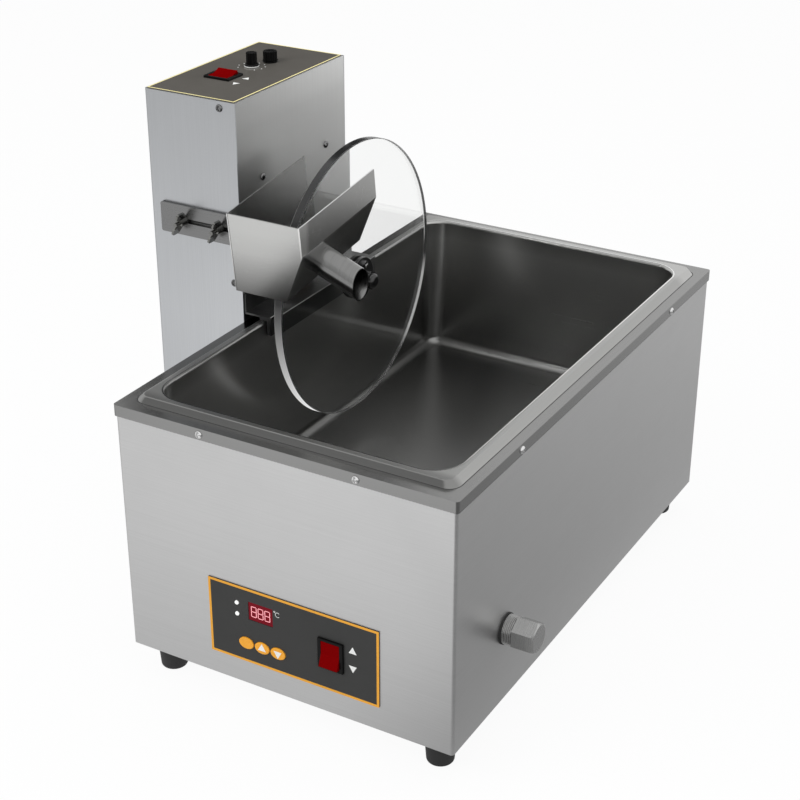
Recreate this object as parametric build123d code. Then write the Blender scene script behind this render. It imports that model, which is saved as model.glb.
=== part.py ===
"""Chocolate tempering machine: a heated pan base with a mixing wheel tower beside it.

Millimetres. The machine is drawn with x to the right, y to the back and z up from the lower edge of
the base's sheet metal, with the cover's front left corner at x = y = 0. The finished pieces are then
moved so that the origin lies under the middle of the whole machine, on the table.
"""
import math
import os

from build123d import *

# Base: sheet, plan and heights
SHEET = 1.2
BEND = 3.0
MOUTH_W = 297.0
MOUTH_D = 506.0
RIM_BORDER_X = 13.0
RIM_BORDER_Y = 11.75
COVER_MARGIN_X = 11.0
COVER_MARGIN_Y = 14.25
RING_W = MOUTH_W + 2 * RIM_BORDER_X
RING_D = MOUTH_D + 2 * RIM_BORDER_Y
COVER_W = RING_W + 2 * COVER_MARGIN_X
COVER_D = RING_D + 2 * COVER_MARGIN_Y
COVER_TOP = 252.0
COVER_BAND = 11.0
COVER_PLAY = 0.2
RETURN_W = 14.0
FOOT_H = 31.0
FOOT_R_TOP = 15.0
FOOT_R_BOTTOM = 12.5
FOOT_EDGE = 3.0
FOOT_INSET_X = 27.5
FOOT_INSET_Y = 27.5
FOOT_POCKET_R = 5.0
FOOT_POCKET_H = 8.0

# Food pan and the water bath below it
PAN_T = 1.0
RING_H = 5.7
RING_R = 12.0
RING_TOP_R = 8.0
RING_SLOPE_X = 6.0
RING_SLOPE_Y = 3.5
RING_EDGE = 1.5
MOUTH_R = 28.0
MOUTH_ROLL = 3.0
MOUTH_PLAY = 1.0
PAN_DEPTH = 147.0
PAN_DRAFT = 6.0
PAN_CORNER_R = 14.0
PAN_FLOOR_R = 10.0
TANK_T = 1.0
TANK_MARGIN_X = 8.0
TANK_MARGIN_Y = 9.0
TANK_DROP = 158.0
TANK_W = COVER_W - 2 * TANK_MARGIN_X
TANK_D = COVER_D - 2 * TANK_MARGIN_Y
TANK_FLOOR = COVER_TOP - TANK_DROP

# Heater, probe and drain
HEATER_R = 4.25
HEATER_LIFT = 7.5
HEATER_BEND = 18.0
HEATER_INSET_X = 60.0
HEATER_INSET_Y = 75.0
HEATER_LEADS = 45.0
HEATER_LEAD_DROP = 20.0
LEAD_COLLAR_R = 7.5
LEAD_COLLAR_H = 6.0
PROBE_R = 3.0
PROBE_RISE = 12.0
PROBE_SETBACK = 35.0
DRAIN_Y = 97.0
DRAIN_BELOW = 18.5
DRAIN_Z = TANK_FLOOR - DRAIN_BELOW
DRAIN_RUN_IN = 44.0
DRAIN_PIPE_R = 12.0
DRAIN_PIPE_BORE_R = 9.0
DRAIN_SOCKET_R = 17.0
DRAIN_SOCKET_L = 26.0
PLUG_THREAD_R = 13.2
PLUG_THREAD_IN = 22.0
PLUG_THREAD_OUT = 11.5
PLUG_END_ROOM = 1.0
PLUG_HEX = 27.0
PLUG_HEX_L = 21.0
PLUG_CHAMFER = 3.0
SEAL_R = 14.8
SEAL_T = 1.6

# Front controls, placed from the middle of their fascia
FASCIA_W = 177.5
FASCIA_H = 79.0
FASCIA_OFF_X = 9.75
FASCIA_X = COVER_W / 2 + FASCIA_OFF_X
FASCIA_Z = 64.0
FASCIA_X0 = FASCIA_X - FASCIA_W / 2
FASCIA_X1 = FASCIA_X + FASCIA_W / 2
FASCIA_Z0 = FASCIA_Z - FASCIA_H / 2
FASCIA_Z1 = FASCIA_Z + FASCIA_H / 2
FASCIA_T = 1.0
FASCIA_R = 0.6
DISPLAY_OFF_X = -33.25
DISPLAY_OFF_Z = 16.5
DISPLAY_X = FASCIA_X + DISPLAY_OFF_X
DISPLAY_Z = FASCIA_Z + DISPLAY_OFF_Z
DISPLAY_W = 25.4
DISPLAY_H = 18.6
DISPLAY_RECESS = 0.4
LED_OFF_X = -58.25
LED_OFF_ZS = (21.3, 9.7)
LED_X = FASCIA_X + LED_OFF_X
LED_ZS = tuple(FASCIA_Z + off for off in LED_OFF_ZS)
LED_R = 2.0
KEY_OFF_XS = (-49.35, -32.35, -15.45)
KEY_OFF_Z = -19.0
KEY_XS = tuple(FASCIA_X + off for off in KEY_OFF_XS)
KEY_Z = FASCIA_Z + KEY_OFF_Z
KEY_W = 15.6
KEY_H = 11.8
KEY_PROUD = 1.2
KEY_LIP = 1.6
KEY_LIP_W = 9.4
KEY_LIP_T = 1.2
KEY_STEM_R = 2.0
KEY_TRAVEL = 0.6
TACT_SIDE = 6.0
TACT_H = 4.3
BOARD_T = 1.6
BOARD_W = 70.0
BOARD_H = 59.0
BOARD_OFF_X = -35.25
BOARD_OFF_Z = -1.5
BOARD_X0 = FASCIA_X + BOARD_OFF_X - BOARD_W / 2
BOARD_X1 = BOARD_X0 + BOARD_W
BOARD_Z0 = FASCIA_Z + BOARD_OFF_Z - BOARD_H / 2
BOARD_Z1 = BOARD_Z0 + BOARD_H
BOARD_BACK = 12.0
POST_R = 2.5
POST_EDGE = 3.5

# Rocker switches, drawn facing +z with the rocker tipping along y
BASE_SWITCH_OFF_X = 40.25
BASE_SWITCH_OFF_Z = -1.0
BASE_SWITCH_X = FASCIA_X + BASE_SWITCH_OFF_X
BASE_SWITCH_Z = FASCIA_Z + BASE_SWITCH_OFF_Z
BASE_SWITCH_W = 26.0
BASE_SWITCH_L = 31.0
TOWER_SWITCH_W = 29.5
TOWER_SWITCH_L = 25.0
BEZEL_T = 2.2
BEZEL_EDGE = 0.8
SWITCH_BODY_H = 24.0
SWITCH_WALL = 1.1
SWITCH_END_WALL = 1.0
BEZEL_LIP = 1.2
ROCKER_TILT = 10.0
ROCKER_PLAY = 0.3
ROCKER_END_PLAY = 1.1
ROCKER_FLUSH = 2.6
ROCKER_BELLY = 1.5
ROCKER_SINK = 4.4
PIVOT_DROP = 0.6
PIVOT_R = 1.5
BLADE_W = 6.3
BLADE_T = 0.8
BLADE_L = 8.0

# Mains parts of the base
BLOCK_INSET_X = 95.0
BLOCK_INSET_Y = 78.0
BLOCK_X = COVER_W - BLOCK_INSET_X
BLOCK_Y = COVER_D - BLOCK_INSET_Y
BLOCK_L = 60.0
BLOCK_W = 21.0
BLOCK_H = 18.0
BLOCK_WAYS = 3
BASE_GLAND_X = COVER_W / 2
BASE_GLAND_Z = 45.0
GLAND_NUT = 22.0
GLAND_NUT_T = 6.0
GLAND_DOME_L = 11.0
GLAND_R = 8.0
GLAND_BORE_R = 3.6
GLAND_INSIDE = 9.0

# Wheel's axis, from the base
AXIS_OFF_Y = 20.8
AXIS_ABOVE = 27.3
AXIS_Y = COVER_D / 2 + AXIS_OFF_Y
AXIS_Z = COVER_TOP + AXIS_ABOVE

# Mixer tower, placed from the wheel's axis
TOWER_GAP = 0.5
TOWER_W = 103.5
TOWER_D = 191.5
TOWER_Y0 = AXIS_Y - TOWER_D / 2
TOWER_RISE = 190.9
TOWER_TOP = AXIS_Z + TOWER_RISE
TOWER_FLANGE = 20.0
TRAY_LIP = 12.0
TRAY_CLEAR = 2.0
TOP_FASCIA_T = 0.8
TOP_FASCIA_INSET = 2.0
TOWER_FOOT_R_TOP = 12.5
TOWER_FOOT_R_BOTTOM = 10.5
TOWER_FOOT_INSET = 20.0
TOWER_GLAND_X = -52.0
TOWER_GLAND_Z = 40.0
TOWER_SWITCH_X = -60.0
TOWER_SWITCH_OFF_Y = -28.8
TOWER_SWITCH_Y = AXIS_Y + TOWER_SWITCH_OFF_Y
KNOB_X = -56.0
KNOB_OFF_Y = 13.7
KNOB_Y = AXIS_Y + KNOB_OFF_Y
KNOB_SKIRT_R = 7.2
KNOB_SKIRT_H = 2.6
KNOB_R = 5.4
KNOB_H = 13.5
KNOB_FLUTES = 12
KNOB_FLUTE_R = 0.6
KNOB_LIFT = 0.4
POT_R = 8.5
POT_H = 9.0
POT_NECK_R = 3.5
POT_NECK_UP = 6.0
POT_STEM_R = 2.0
FUSE_X = -50.0
FUSE_OFF_Y = 37.2
FUSE_Y = AXIS_Y + FUSE_OFF_Y
FUSE_CAP_R = 7.0
FUSE_CAP_H = 9.0
FUSE_RIBS = 18
FUSE_RIB_R = 0.5
FUSE_SLOT_L = 9.8
FUSE_SLOT_W = 1.5
FUSE_SLOT_D = 0.8
FUSE_FLANGE_R = 7.6
FUSE_FLANGE_T = 1.6
FUSE_BARREL_R = 6.0
FUSE_BARREL_L = 34.0
FUSE_BORE_R = 4.0
FUSE_STEM_L = 12.0

# Drive
SHAFT_R = 6.0
SHAFT_IN = 49.0
SHAFT_PAST = 9.5
RUN = 0.05
BUSH_R = 10.0
BUSH_FLANGE_R = 13.0
BUSH_FLANGE_T = 2.5
BRACKET_T = 3.0
BRACKET_Y = 134.0
BRACKET_OFF_Y = 2.0
BRACKET_BELOW = 17.3
BRACKET_ABOVE = 120.7
BRACKET_Z0 = AXIS_Z - BRACKET_BELOW
BRACKET_Z1 = AXIS_Z + BRACKET_ABOVE
BRACKET_R = 8.0
BRACKET_SCREW_Y = 56.3
BRACKET_SCREW_RISES = (108.7, 20.7)
GEARBOX_X = 54.0
GEARBOX_Y = 64.0
GEARBOX_Z = 76.0
GEARBOX_R = 6.0
MOTOR_R = 31.0
MOTOR_SETBACK = 6.0
MOTOR_L = 128.0
MOTOR_CAP = 14.0
MOTOR_CAP_R = 27.0
SPEED_BOARD_Y = 96.0
SPEED_BOARD_Z = 84.0
SPEED_BOARD_RISE = 100.7
SPEED_BOARD_STAND = 8.0

# Mixing wheel
DISC_R = 138.4
DISC_T = 9.0
DISC_FACE = 73.0
DISC_EDGE = 0.6
HUB_R = 21.5
HUB_T = 3.5
HUB_BOSS_R = 11.0
HUB_BOSS_L = 14.0
HUB_PITCH_R = 14.5
HUB_SCREWS = 4
HUB_PHASE = 72.0
HUB_SCREW_R = 2.0
HUB_HOLE_R = 2.2
HUB_HEAD_R = 3.5
HUB_HEAD_H = 2.4
HUB_NUT = 17.0
HUB_NUT_T = 11.0
HUB_NUT_DOME = 5.0
HUB_NUT_SHOULDER = 1.0

# Scraper hopper, drawn level beside the disc and then tipped about x
HOP_LEFT = 46.5
HOP_RIGHT = 31.9
HOP_AHEAD = 153.8
HOP_ABOVE = 108.4
HOP_X0 = DISC_FACE - HOP_LEFT
HOP_X1 = DISC_FACE + HOP_RIGHT
HOP_Y = AXIS_Y - HOP_AHEAD
HOP_Z = AXIS_Z + HOP_ABOVE
HOP_TILT = 7.4
HOP_L = 131.0
HOP_DEPTH = 79.6
HOP_WALL = 29.0
HOP_SLOPE_RUN = 22.6
HOP_FLOOR_W = HOP_LEFT + HOP_RIGHT - HOP_SLOPE_RUN
DISC_PLAY = 2.5
SPOUT_ALONG = 46.0
SPOUT_DROP = 26.0
SPOUT_R = 14.2
SPOUT_T = 1.0
SPOUT_REACH = 29.6
SPOUT_END_X = HOP_X1 + SPOUT_REACH

# Scraper clamp
BAR_X0 = -90.7
BAR_H = 30.0
BAR_T = 3.0
BAR_GAP = 0.3
BAR_R = 2.0
BAR_ABOVE = 66.7
BAR_Z = AXIS_Z + BAR_ABOVE
STUD_XS = (-63.0, -21.0)
STUD_R = 2.0
STUD_L = 18.5
SLOT_H = 4.6
SLOT_PAST = 8.0
SLOT_X1 = 12.0
NUT_GAP = 0.3
NUT_L = 8.5
NUT_R = 5.0
NUT_NOSE_R = 4.0
WING_T = 2.0
WING_SPAN = 11.5
WING_RISE = 7.0
WING_ROOT = 5.5
WING_R = 2.2
WING_TURN = 70.0

# Rim hanger
HANGER_T = 2.0
HANGER_OVER = 6.0
HANGER_REACH = COVER_MARGIN_X + RIM_BORDER_X + HANGER_OVER
HANGER_SIDE_IN = 1.75
HANGER_Y = TOWER_D - 2 * HANGER_SIDE_IN
HANGER_LEG = 17.0
HANGER_UPSTAND = 20.0
HANGER_NOTCH = 38.0
PAD_T = 2.5
PAD_X0 = COVER_MARGIN_X + RING_SLOPE_X
PAD_LEG_T = 3.0

# Round screw heads
SCREW_R = 3.7
SCREW_H = 2.2
SCREW_EDGE = 1.2
COVER_SCREW_OFF_XS = (-79.9, 77.2)
COVER_SCREW_OFF_YS = (-164.6, 170.8)
COVER_SCREW_DROP = 6.0
TOWER_SCREW_TOP_IN = 17.5
TOWER_SCREW_IN = 9.0
TOWER_SCREW_DROP = 6.7
TOWER_SCREW_ABOVE = 11.7
TOWER_SCREW_LOW = 30.0

# Clearance between a piece and the hole that it passes through
HOLE_PLAY = 0.3

# Places that follow from the sizes above
INSET = SHEET + COVER_PLAY
WALL_X0 = INSET
WALL_X1 = COVER_W - INSET
WALL_Y0 = INSET
WALL_Y1 = COVER_D - INSET
WALL_TOP = COVER_TOP - SHEET
MID_X = COVER_W / 2
MID_Y = COVER_D / 2
RIM_Z = COVER_TOP + RING_H
PAN_FLOOR = RIM_Z - PAN_DEPTH
TANK_X0 = MID_X - TANK_W / 2
TANK_Y0 = MID_Y - TANK_D / 2
FACE_Y = WALL_Y0 - FASCIA_T
INNER_Y = WALL_Y0 + SHEET
BOARD_Y = INNER_Y + BOARD_BACK
TOWER_X1 = -TOWER_GAP
TOWER_X0 = TOWER_X1 - TOWER_W
TOWER_Y1 = TOWER_Y0 + TOWER_D
PANEL_IN = TOWER_X1 - SHEET
BRACKET_IN = PANEL_IN - BRACKET_T
DISC_BACK = DISC_FACE - DISC_T
NUT_X = DISC_FACE + HUB_T
SHAFT_END = NUT_X + SHAFT_PAST
BAR_Y1 = TOWER_Y0 - BAR_GAP
BAR_Y0 = BAR_Y1 - BAR_T
NUT_Y1 = BAR_Y0 - NUT_GAP
HANGER_Z = RIM_Z + PAD_T


# Shared shapes
def slab(x0, x1, y0, y1, z0, z1):
    """Box between two opposite corners."""
    return Pos((x0 + x1) / 2, (y0 + y1) / 2, (z0 + z1) / 2) * Box(x1 - x0, y1 - y0, z1 - z0)


def block(x0, x1, y0, y1, z0, z1, radius):
    """Box with rounded upright edges."""
    outline = Pos((x0 + x1) / 2, (y0 + y1) / 2, z0) * RectangleRounded(x1 - x0, y1 - y0, radius)
    return extrude(outline, z1 - z0)


def rod(radius, length):
    """Cylinder standing on the origin."""
    return Cylinder(radius, length, align=(Align.CENTER, Align.CENTER, Align.MIN))


def rod_x(radius, x0, x1, y, z):
    """Cylinder along x."""
    return Pos(x0, y, z) * Rot(0, 90, 0) * rod(radius, x1 - x0)


def rod_y(radius, y0, y1, x, z):
    """Cylinder along y."""
    return Pos(x, y0, z) * Rot(-90, 0, 0) * rod(radius, y1 - y0)


def rod_z(radius, z0, z1, x, y):
    """Cylinder along z."""
    return Pos(x, y, z0) * rod(radius, z1 - z0)


def hex_rod(across, length):
    """Hexagonal bar standing on the origin, given across its flats."""
    return extrude(RegularPolygon(across / 2, 6, major_radius=False), length)


def taper_foot(radius_top, radius_bottom):
    """Round rubber foot with a screw pocket in its sole, its top at z = 0."""
    body = Pos(0, 0, -FOOT_H) * Cone(
        radius_bottom, radius_top, FOOT_H, align=(Align.CENTER, Align.CENTER, Align.MIN))
    sole = body.edges().sort_by(Axis.Z)[0]
    return fillet(sole, FOOT_EDGE) - Pos(0, 0, -FOOT_H) * rod(FOOT_POCKET_R, FOOT_POCKET_H)


def screw_head():
    """Domed screw head standing on the origin."""
    head = rod(SCREW_R, SCREW_H)
    return fillet(head.edges().sort_by(Axis.Z)[-1], SCREW_EDGE)


def gland():
    """Cable gland standing on the origin, with its neck below the wall and an open bore."""
    nut = hex_rod(GLAND_NUT, GLAND_NUT_T)
    dome = Pos(0, 0, GLAND_NUT_T) * Cone(
        GLAND_NUT / 2, GLAND_R, GLAND_DOME_L, align=(Align.CENTER, Align.CENTER, Align.MIN))
    neck = Pos(0, 0, -GLAND_INSIDE) * rod(GLAND_R, GLAND_INSIDE)
    bore = Pos(0, 0, -GLAND_INSIDE) * rod(GLAND_BORE_R, GLAND_INSIDE + GLAND_NUT_T + GLAND_DOME_L)
    return nut + dome + neck - bore


def switch_opening(length):
    """Half length of a rocker switch's front opening."""
    return length / 2 - BEZEL_LIP - SWITCH_END_WALL


def switch_body(width, length):
    """Rocker switch housing, its bezel on the panel at z = 0 and its body behind."""
    body_w = width - 2 * BEZEL_LIP - 2 * SWITCH_WALL
    body_l = length - 2 * BEZEL_LIP
    bezel = extrude(RectangleRounded(width, length, BEZEL_EDGE), BEZEL_T)
    bezel = chamfer(bezel.faces().sort_by(Axis.Z)[-1].edges(), BEZEL_EDGE / 2)
    case = Pos(0, 0, -SWITCH_BODY_H / 2) * Box(body_w, body_l, SWITCH_BODY_H)
    well_depth = ROCKER_SINK + PIVOT_DROP + BEZEL_T
    well = Pos(0, 0, BEZEL_T - well_depth / 2) * Box(
        body_w - 2 * SWITCH_WALL, 2 * switch_opening(length), well_depth)
    axle = rod_x(PIVOT_R + RUN, -body_w / 2, body_w / 2, 0, -PIVOT_DROP)
    body = bezel + case - well - axle
    for side in (-1, 1):
        body += Pos(0, side * body_l / 4, -SWITCH_BODY_H - BLADE_L / 2) * Box(BLADE_W, BLADE_T, BLADE_L)
    return body


def switch_hole(width, length, depth):
    """Cutter for the panel hole that a rocker switch snaps into."""
    return Box(width - 2 * BEZEL_LIP - 2 * SWITCH_WALL + 2 * HOLE_PLAY,
               length - 2 * BEZEL_LIP + 2 * HOLE_PLAY, depth)


def switch_rocker(width, length):
    """Rocker with its axle stubs, tipped with its +y end pressed flush."""
    half = switch_opening(length) - ROCKER_END_PLAY
    wall_w = width - 2 * BEZEL_LIP - 4 * SWITCH_WALL
    body_w = wall_w - 2 * ROCKER_PLAY
    lean = math.radians(ROCKER_TILT)
    middle = ROCKER_FLUSH / math.cos(lean)
    tip = middle + half * math.tan(lean)
    profile = Plane.YZ * make_face(Polyline(
        (-half, -ROCKER_BELLY), (half, -ROCKER_BELLY), (half, tip), (0, middle), (-half, tip), close=True))
    body = extrude(profile, body_w / 2, both=True)
    stub = wall_w / 2 + SWITCH_WALL - ROCKER_PLAY
    body += rod_x(PIVOT_R, -stub, stub, 0, 0)
    return Pos(0, 0, -PIVOT_DROP) * Rot(-ROCKER_TILT, 0, 0) * body


# Base
def housing_wrap():
    """Folded body sheet: four walls with a bottom return, open at the top."""
    shell = block(WALL_X0, WALL_X1, WALL_Y0, WALL_Y1, 0, WALL_TOP, BEND)
    shell -= block(WALL_X0 + SHEET, WALL_X1 - SHEET, INNER_Y, WALL_Y1 - SHEET, SHEET, WALL_TOP, BEND - SHEET)
    shell -= block(WALL_X0 + RETURN_W, WALL_X1 - RETURN_W, WALL_Y0 + RETURN_W, WALL_Y1 - RETURN_W,
                   0, SHEET, BEND)
    shell -= front_cuts()
    shell -= rod_x(PLUG_THREAD_R + HOLE_PLAY, WALL_X1 - SHEET, WALL_X1, DRAIN_Y, DRAIN_Z)
    shell -= rod_y(GLAND_R + HOLE_PLAY, WALL_Y1 - SHEET, WALL_Y1, BASE_GLAND_X, BASE_GLAND_Z)
    return shell


def front_cuts():
    """Cutters through the fascia and the front wall for display, lamps, keys and switch."""
    depth = FASCIA_T + SHEET
    mid_y = FACE_Y + depth / 2
    cuts = Pos(DISPLAY_X, mid_y, DISPLAY_Z) * Box(
        DISPLAY_W + 2 * HOLE_PLAY, depth, DISPLAY_H + 2 * HOLE_PLAY)
    for z in LED_ZS:
        cuts += rod_y(LED_R + HOLE_PLAY, FACE_Y, INNER_Y, LED_X, z)
    for x in KEY_XS:
        cuts += Pos(x, INNER_Y, KEY_Z) * key_slug(HOLE_PLAY, depth)
    cuts += Pos(BASE_SWITCH_X, mid_y, BASE_SWITCH_Z) * Rot(90, 0, 0) * switch_hole(
        BASE_SWITCH_W, BASE_SWITCH_L, depth)
    return cuts


def key_slug(play, length):
    """Oval prism from y = 0 towards the front."""
    return Rot(90, 0, 0) * extrude(Ellipse(KEY_W / 2 + play, KEY_H / 2 + play), length)


def bottom_plate():
    """Floor sheet lying on the body's bottom return."""
    edge = SHEET + COVER_PLAY
    return block(WALL_X0 + edge, WALL_X1 - edge, WALL_Y0 + edge, WALL_Y1 - edge, SHEET, 2 * SHEET, BEND)


def top_cover():
    """Cover tray with a down-turned band and the pan's hole."""
    tray = block(0, COVER_W, 0, COVER_D, COVER_TOP - COVER_BAND, COVER_TOP, BEND)
    tray -= block(SHEET, COVER_W - SHEET, SHEET, COVER_D - SHEET, COVER_TOP - COVER_BAND, WALL_TOP,
                  BEND - SHEET)
    grow = PAN_T + MOUTH_PLAY
    hole = Pos(MID_X, MID_Y, WALL_TOP) * RectangleRounded(
        MOUTH_W + 2 * grow, MOUTH_D + 2 * grow, MOUTH_R + grow)
    return tray - extrude(hole, SHEET)


def cover_screws():
    """Round heads along the cover's band."""
    z = COVER_TOP - COVER_SCREW_DROP
    heads = []
    for off in COVER_SCREW_OFF_XS:
        heads.append(Pos(MID_X + off, 0, z) * Rot(90, 0, 0) * screw_head())
        heads.append(Pos(MID_X + off, COVER_D, z) * Rot(-90, 0, 0) * screw_head())
    for off in COVER_SCREW_OFF_YS:
        heads.append(Pos(0, MID_Y + off, z) * Rot(0, -90, 0) * screw_head())
        heads.append(Pos(COVER_W, MID_Y + off, z) * Rot(0, 90, 0) * screw_head())
    return Compound(heads)


def taper(width, depth, z_wide, r_wide, z_slim, r_slim, slope_x, slope_y):
    """Rounded block about the base's middle that narrows by a slope on each side."""
    wide = Pos(MID_X, MID_Y, z_wide) * RectangleRounded(width, depth, r_wide)
    slim = Pos(MID_X, MID_Y, z_slim) * RectangleRounded(width - 2 * slope_x, depth - 2 * slope_y, r_slim)
    return loft([wide, slim], ruled=True)


def basin(grow, floor_z, floor_radius):
    """Drafted plug of the pan's inside, or of its outside when grown by the wall."""
    plug = taper(MOUTH_W + 2 * grow, MOUTH_D + 2 * grow, RIM_Z, MOUTH_R + grow, floor_z,
                 PAN_CORNER_R + grow, PAN_DRAFT, PAN_DRAFT)
    return fillet(plug.faces().sort_by(Axis.Z)[0].edges(), floor_radius)


def food_pan():
    """Deep-drawn pan: rolled mouth, raised ring with sloping sides, drafted walls."""
    ring = taper(RING_W, RING_D, COVER_TOP, RING_R, RIM_Z, RING_TOP_R, RING_SLOPE_X, RING_SLOPE_Y)
    ring = fillet(ring.faces().sort_by(Axis.Z)[-1].edges(), RING_EDGE)
    ring -= taper(RING_W - 2 * PAN_T, RING_D - 2 * PAN_T, COVER_TOP, RING_R - PAN_T, RIM_Z - PAN_T,
                  RING_TOP_R - PAN_T, RING_SLOPE_X, RING_SLOPE_Y)
    pan = ring + basin(PAN_T, PAN_FLOOR - PAN_T, PAN_FLOOR_R + PAN_T)
    pan -= basin(0, PAN_FLOOR, PAN_FLOOR_R)
    mouth = pan.faces().sort_by(Axis.Z)[-1].inner_wires()[0].edges()
    return fillet(mouth, MOUTH_ROLL)


def bath_tank():
    """Open water tank under the cover, round the pan."""
    x1 = TANK_X0 + TANK_W
    y1 = TANK_Y0 + TANK_D
    tank = slab(TANK_X0, x1, TANK_Y0, y1, TANK_FLOOR, WALL_TOP)
    tank -= slab(TANK_X0 + TANK_T, x1 - TANK_T, TANK_Y0 + TANK_T, y1 - TANK_T, TANK_FLOOR + TANK_T, WALL_TOP)
    for x in heater_leads():
        tank -= rod_z(HEATER_R + RUN, TANK_FLOOR, TANK_FLOOR + TANK_T, x, HEATER_INSET_Y)
    tank -= rod_z(PROBE_R + RUN, TANK_FLOOR, TANK_FLOOR + TANK_T, MID_X, HEATER_INSET_Y + PROBE_SETBACK)
    return tank - rod_z(DRAIN_PIPE_BORE_R, TANK_FLOOR, TANK_FLOOR + TANK_T, drain_x(), DRAIN_Y)


def heater_leads():
    """Places in x of the heater's two ends."""
    return (MID_X - HEATER_LEADS / 2, MID_X + HEATER_LEADS / 2)


def drain_x():
    """Place in x of the drain's drop from the tank floor."""
    return WALL_X1 - SHEET - DRAIN_RUN_IN


def heating_element():
    """Bent tube heater loop with its two ends turned down through the tank floor."""
    left, right = heater_leads()
    z = TANK_FLOOR + TANK_T + HEATER_LIFT
    low = TANK_FLOOR - HEATER_LEAD_DROP
    front = HEATER_INSET_Y
    back = COVER_D - HEATER_INSET_Y
    points = [(left, front, low), (left, front, z), (HEATER_INSET_X, front, z), (HEATER_INSET_X, back, z),
              (COVER_W - HEATER_INSET_X, back, z), (COVER_W - HEATER_INSET_X, front, z), (right, front, z),
              (right, front, low)]
    tight = HEATER_LIFT - RUN
    radii = [tight] + [HEATER_BEND] * 4 + [tight]
    path = FilletPolyline(*points, radius=radii)
    tube = sweep(Plane(origin=path @ 0, z_dir=path % 0) * Circle(HEATER_R), path=path)
    for x in (left, right):
        tube += rod_z(LEAD_COLLAR_R, TANK_FLOOR - LEAD_COLLAR_H, TANK_FLOOR, x, front)
    return tube


def temperature_probe():
    """Probe standing in the water, with its collar under the tank floor."""
    y = HEATER_INSET_Y + PROBE_SETBACK
    stem = rod_z(PROBE_R, TANK_FLOOR - PROBE_RISE, TANK_FLOOR + TANK_T + PROBE_RISE, MID_X, y)
    return stem + rod_z(2 * PROBE_R, TANK_FLOOR - LEAD_COLLAR_H, TANK_FLOOR, MID_X, y)


def drain_elbow():
    """Elbow from the tank floor to a threaded socket on the inside of the right wall."""
    wall = WALL_X1 - SHEET
    x = drain_x()
    body = rod_z(DRAIN_PIPE_R, DRAIN_Z, TANK_FLOOR, x, DRAIN_Y)
    body += Pos(x, DRAIN_Y, DRAIN_Z) * Sphere(DRAIN_PIPE_R)
    body += rod_x(DRAIN_PIPE_R, x, wall, DRAIN_Y, DRAIN_Z)
    body += rod_x(DRAIN_SOCKET_R, wall - DRAIN_SOCKET_L, wall, DRAIN_Y, DRAIN_Z)
    body -= rod_z(DRAIN_PIPE_BORE_R, DRAIN_Z, TANK_FLOOR, x, DRAIN_Y)
    body -= Pos(x, DRAIN_Y, DRAIN_Z) * Sphere(DRAIN_PIPE_BORE_R)
    body -= rod_x(DRAIN_PIPE_BORE_R, x, wall, DRAIN_Y, DRAIN_Z)
    return body - rod_x(PLUG_THREAD_R + RUN, wall - PLUG_THREAD_IN - PLUG_END_ROOM, wall, DRAIN_Y, DRAIN_Z)


def drain_seal():
    """Rubber ring between the wall and the drain plug."""
    ring = rod_x(SEAL_R, WALL_X1, WALL_X1 + SEAL_T, DRAIN_Y, DRAIN_Z)
    return ring - rod_x(PLUG_THREAD_R + HOLE_PLAY, WALL_X1, WALL_X1 + SEAL_T, DRAIN_Y, DRAIN_Z)


def drain_plug():
    """Plug with a threaded shank and a long hexagonal head."""
    shank = rod_x(PLUG_THREAD_R, WALL_X1 - PLUG_THREAD_IN, WALL_X1 + PLUG_THREAD_OUT, DRAIN_Y, DRAIN_Z)
    round_end = rod(PLUG_HEX / 2 / math.cos(math.pi / 6), PLUG_HEX_L)
    round_end = chamfer(round_end.edges().sort_by(Axis.Z)[-1], PLUG_CHAMFER * math.tan(math.pi / 6),
                        PLUG_CHAMFER)
    head = hex_rod(PLUG_HEX, PLUG_HEX_L) & round_end
    return shank + Pos(WALL_X1 + PLUG_THREAD_OUT, DRAIN_Y, DRAIN_Z) * Rot(0, 90, 0) * head


def base_feet():
    """Four rubber feet under the body's bottom return."""
    spots = [(x, y) for x in (FOOT_INSET_X, COVER_W - FOOT_INSET_X)
             for y in (FOOT_INSET_Y, COVER_D - FOOT_INSET_Y)]
    return Compound([Pos(x, y, SHEET) * taper_foot_long() for x, y in spots])


def taper_foot_long():
    """Base foot whose spigot reaches up to the floor sheet inside the return."""
    return Pos(0, 0, -SHEET) * taper_foot(FOOT_R_TOP, FOOT_R_BOTTOM) + Pos(0, 0, -SHEET) * rod(
        FOOT_POCKET_R, SHEET)


def control_fascia():
    """Front label plate with its window, lamp, key and switch holes."""
    plate = RectangleRounded(FASCIA_X1 - FASCIA_X0, FASCIA_Z1 - FASCIA_Z0, FASCIA_R)
    place = Pos((FASCIA_X0 + FASCIA_X1) / 2, WALL_Y0, (FASCIA_Z0 + FASCIA_Z1) / 2)
    return place * Rot(90, 0, 0) * extrude(plate, FASCIA_T) - front_cuts()


def control_board():
    """Controller board on four posts behind the front wall."""
    board = slab(BOARD_X0, BOARD_X1, BOARD_Y, BOARD_Y + BOARD_T, BOARD_Z0, BOARD_Z1)
    for x in (BOARD_X0 + POST_EDGE, BOARD_X1 - POST_EDGE):
        for z in (BOARD_Z0 + POST_EDGE, BOARD_Z1 - POST_EDGE):
            board += rod_y(POST_R, INNER_Y, BOARD_Y, x, z)
    return board


def display_module():
    """Three-digit display block from the board to the fascia's window."""
    return slab(DISPLAY_X - DISPLAY_W / 2, DISPLAY_X + DISPLAY_W / 2, FACE_Y + DISPLAY_RECESS, BOARD_Y,
                DISPLAY_Z - DISPLAY_H / 2, DISPLAY_Z + DISPLAY_H / 2)


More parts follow.
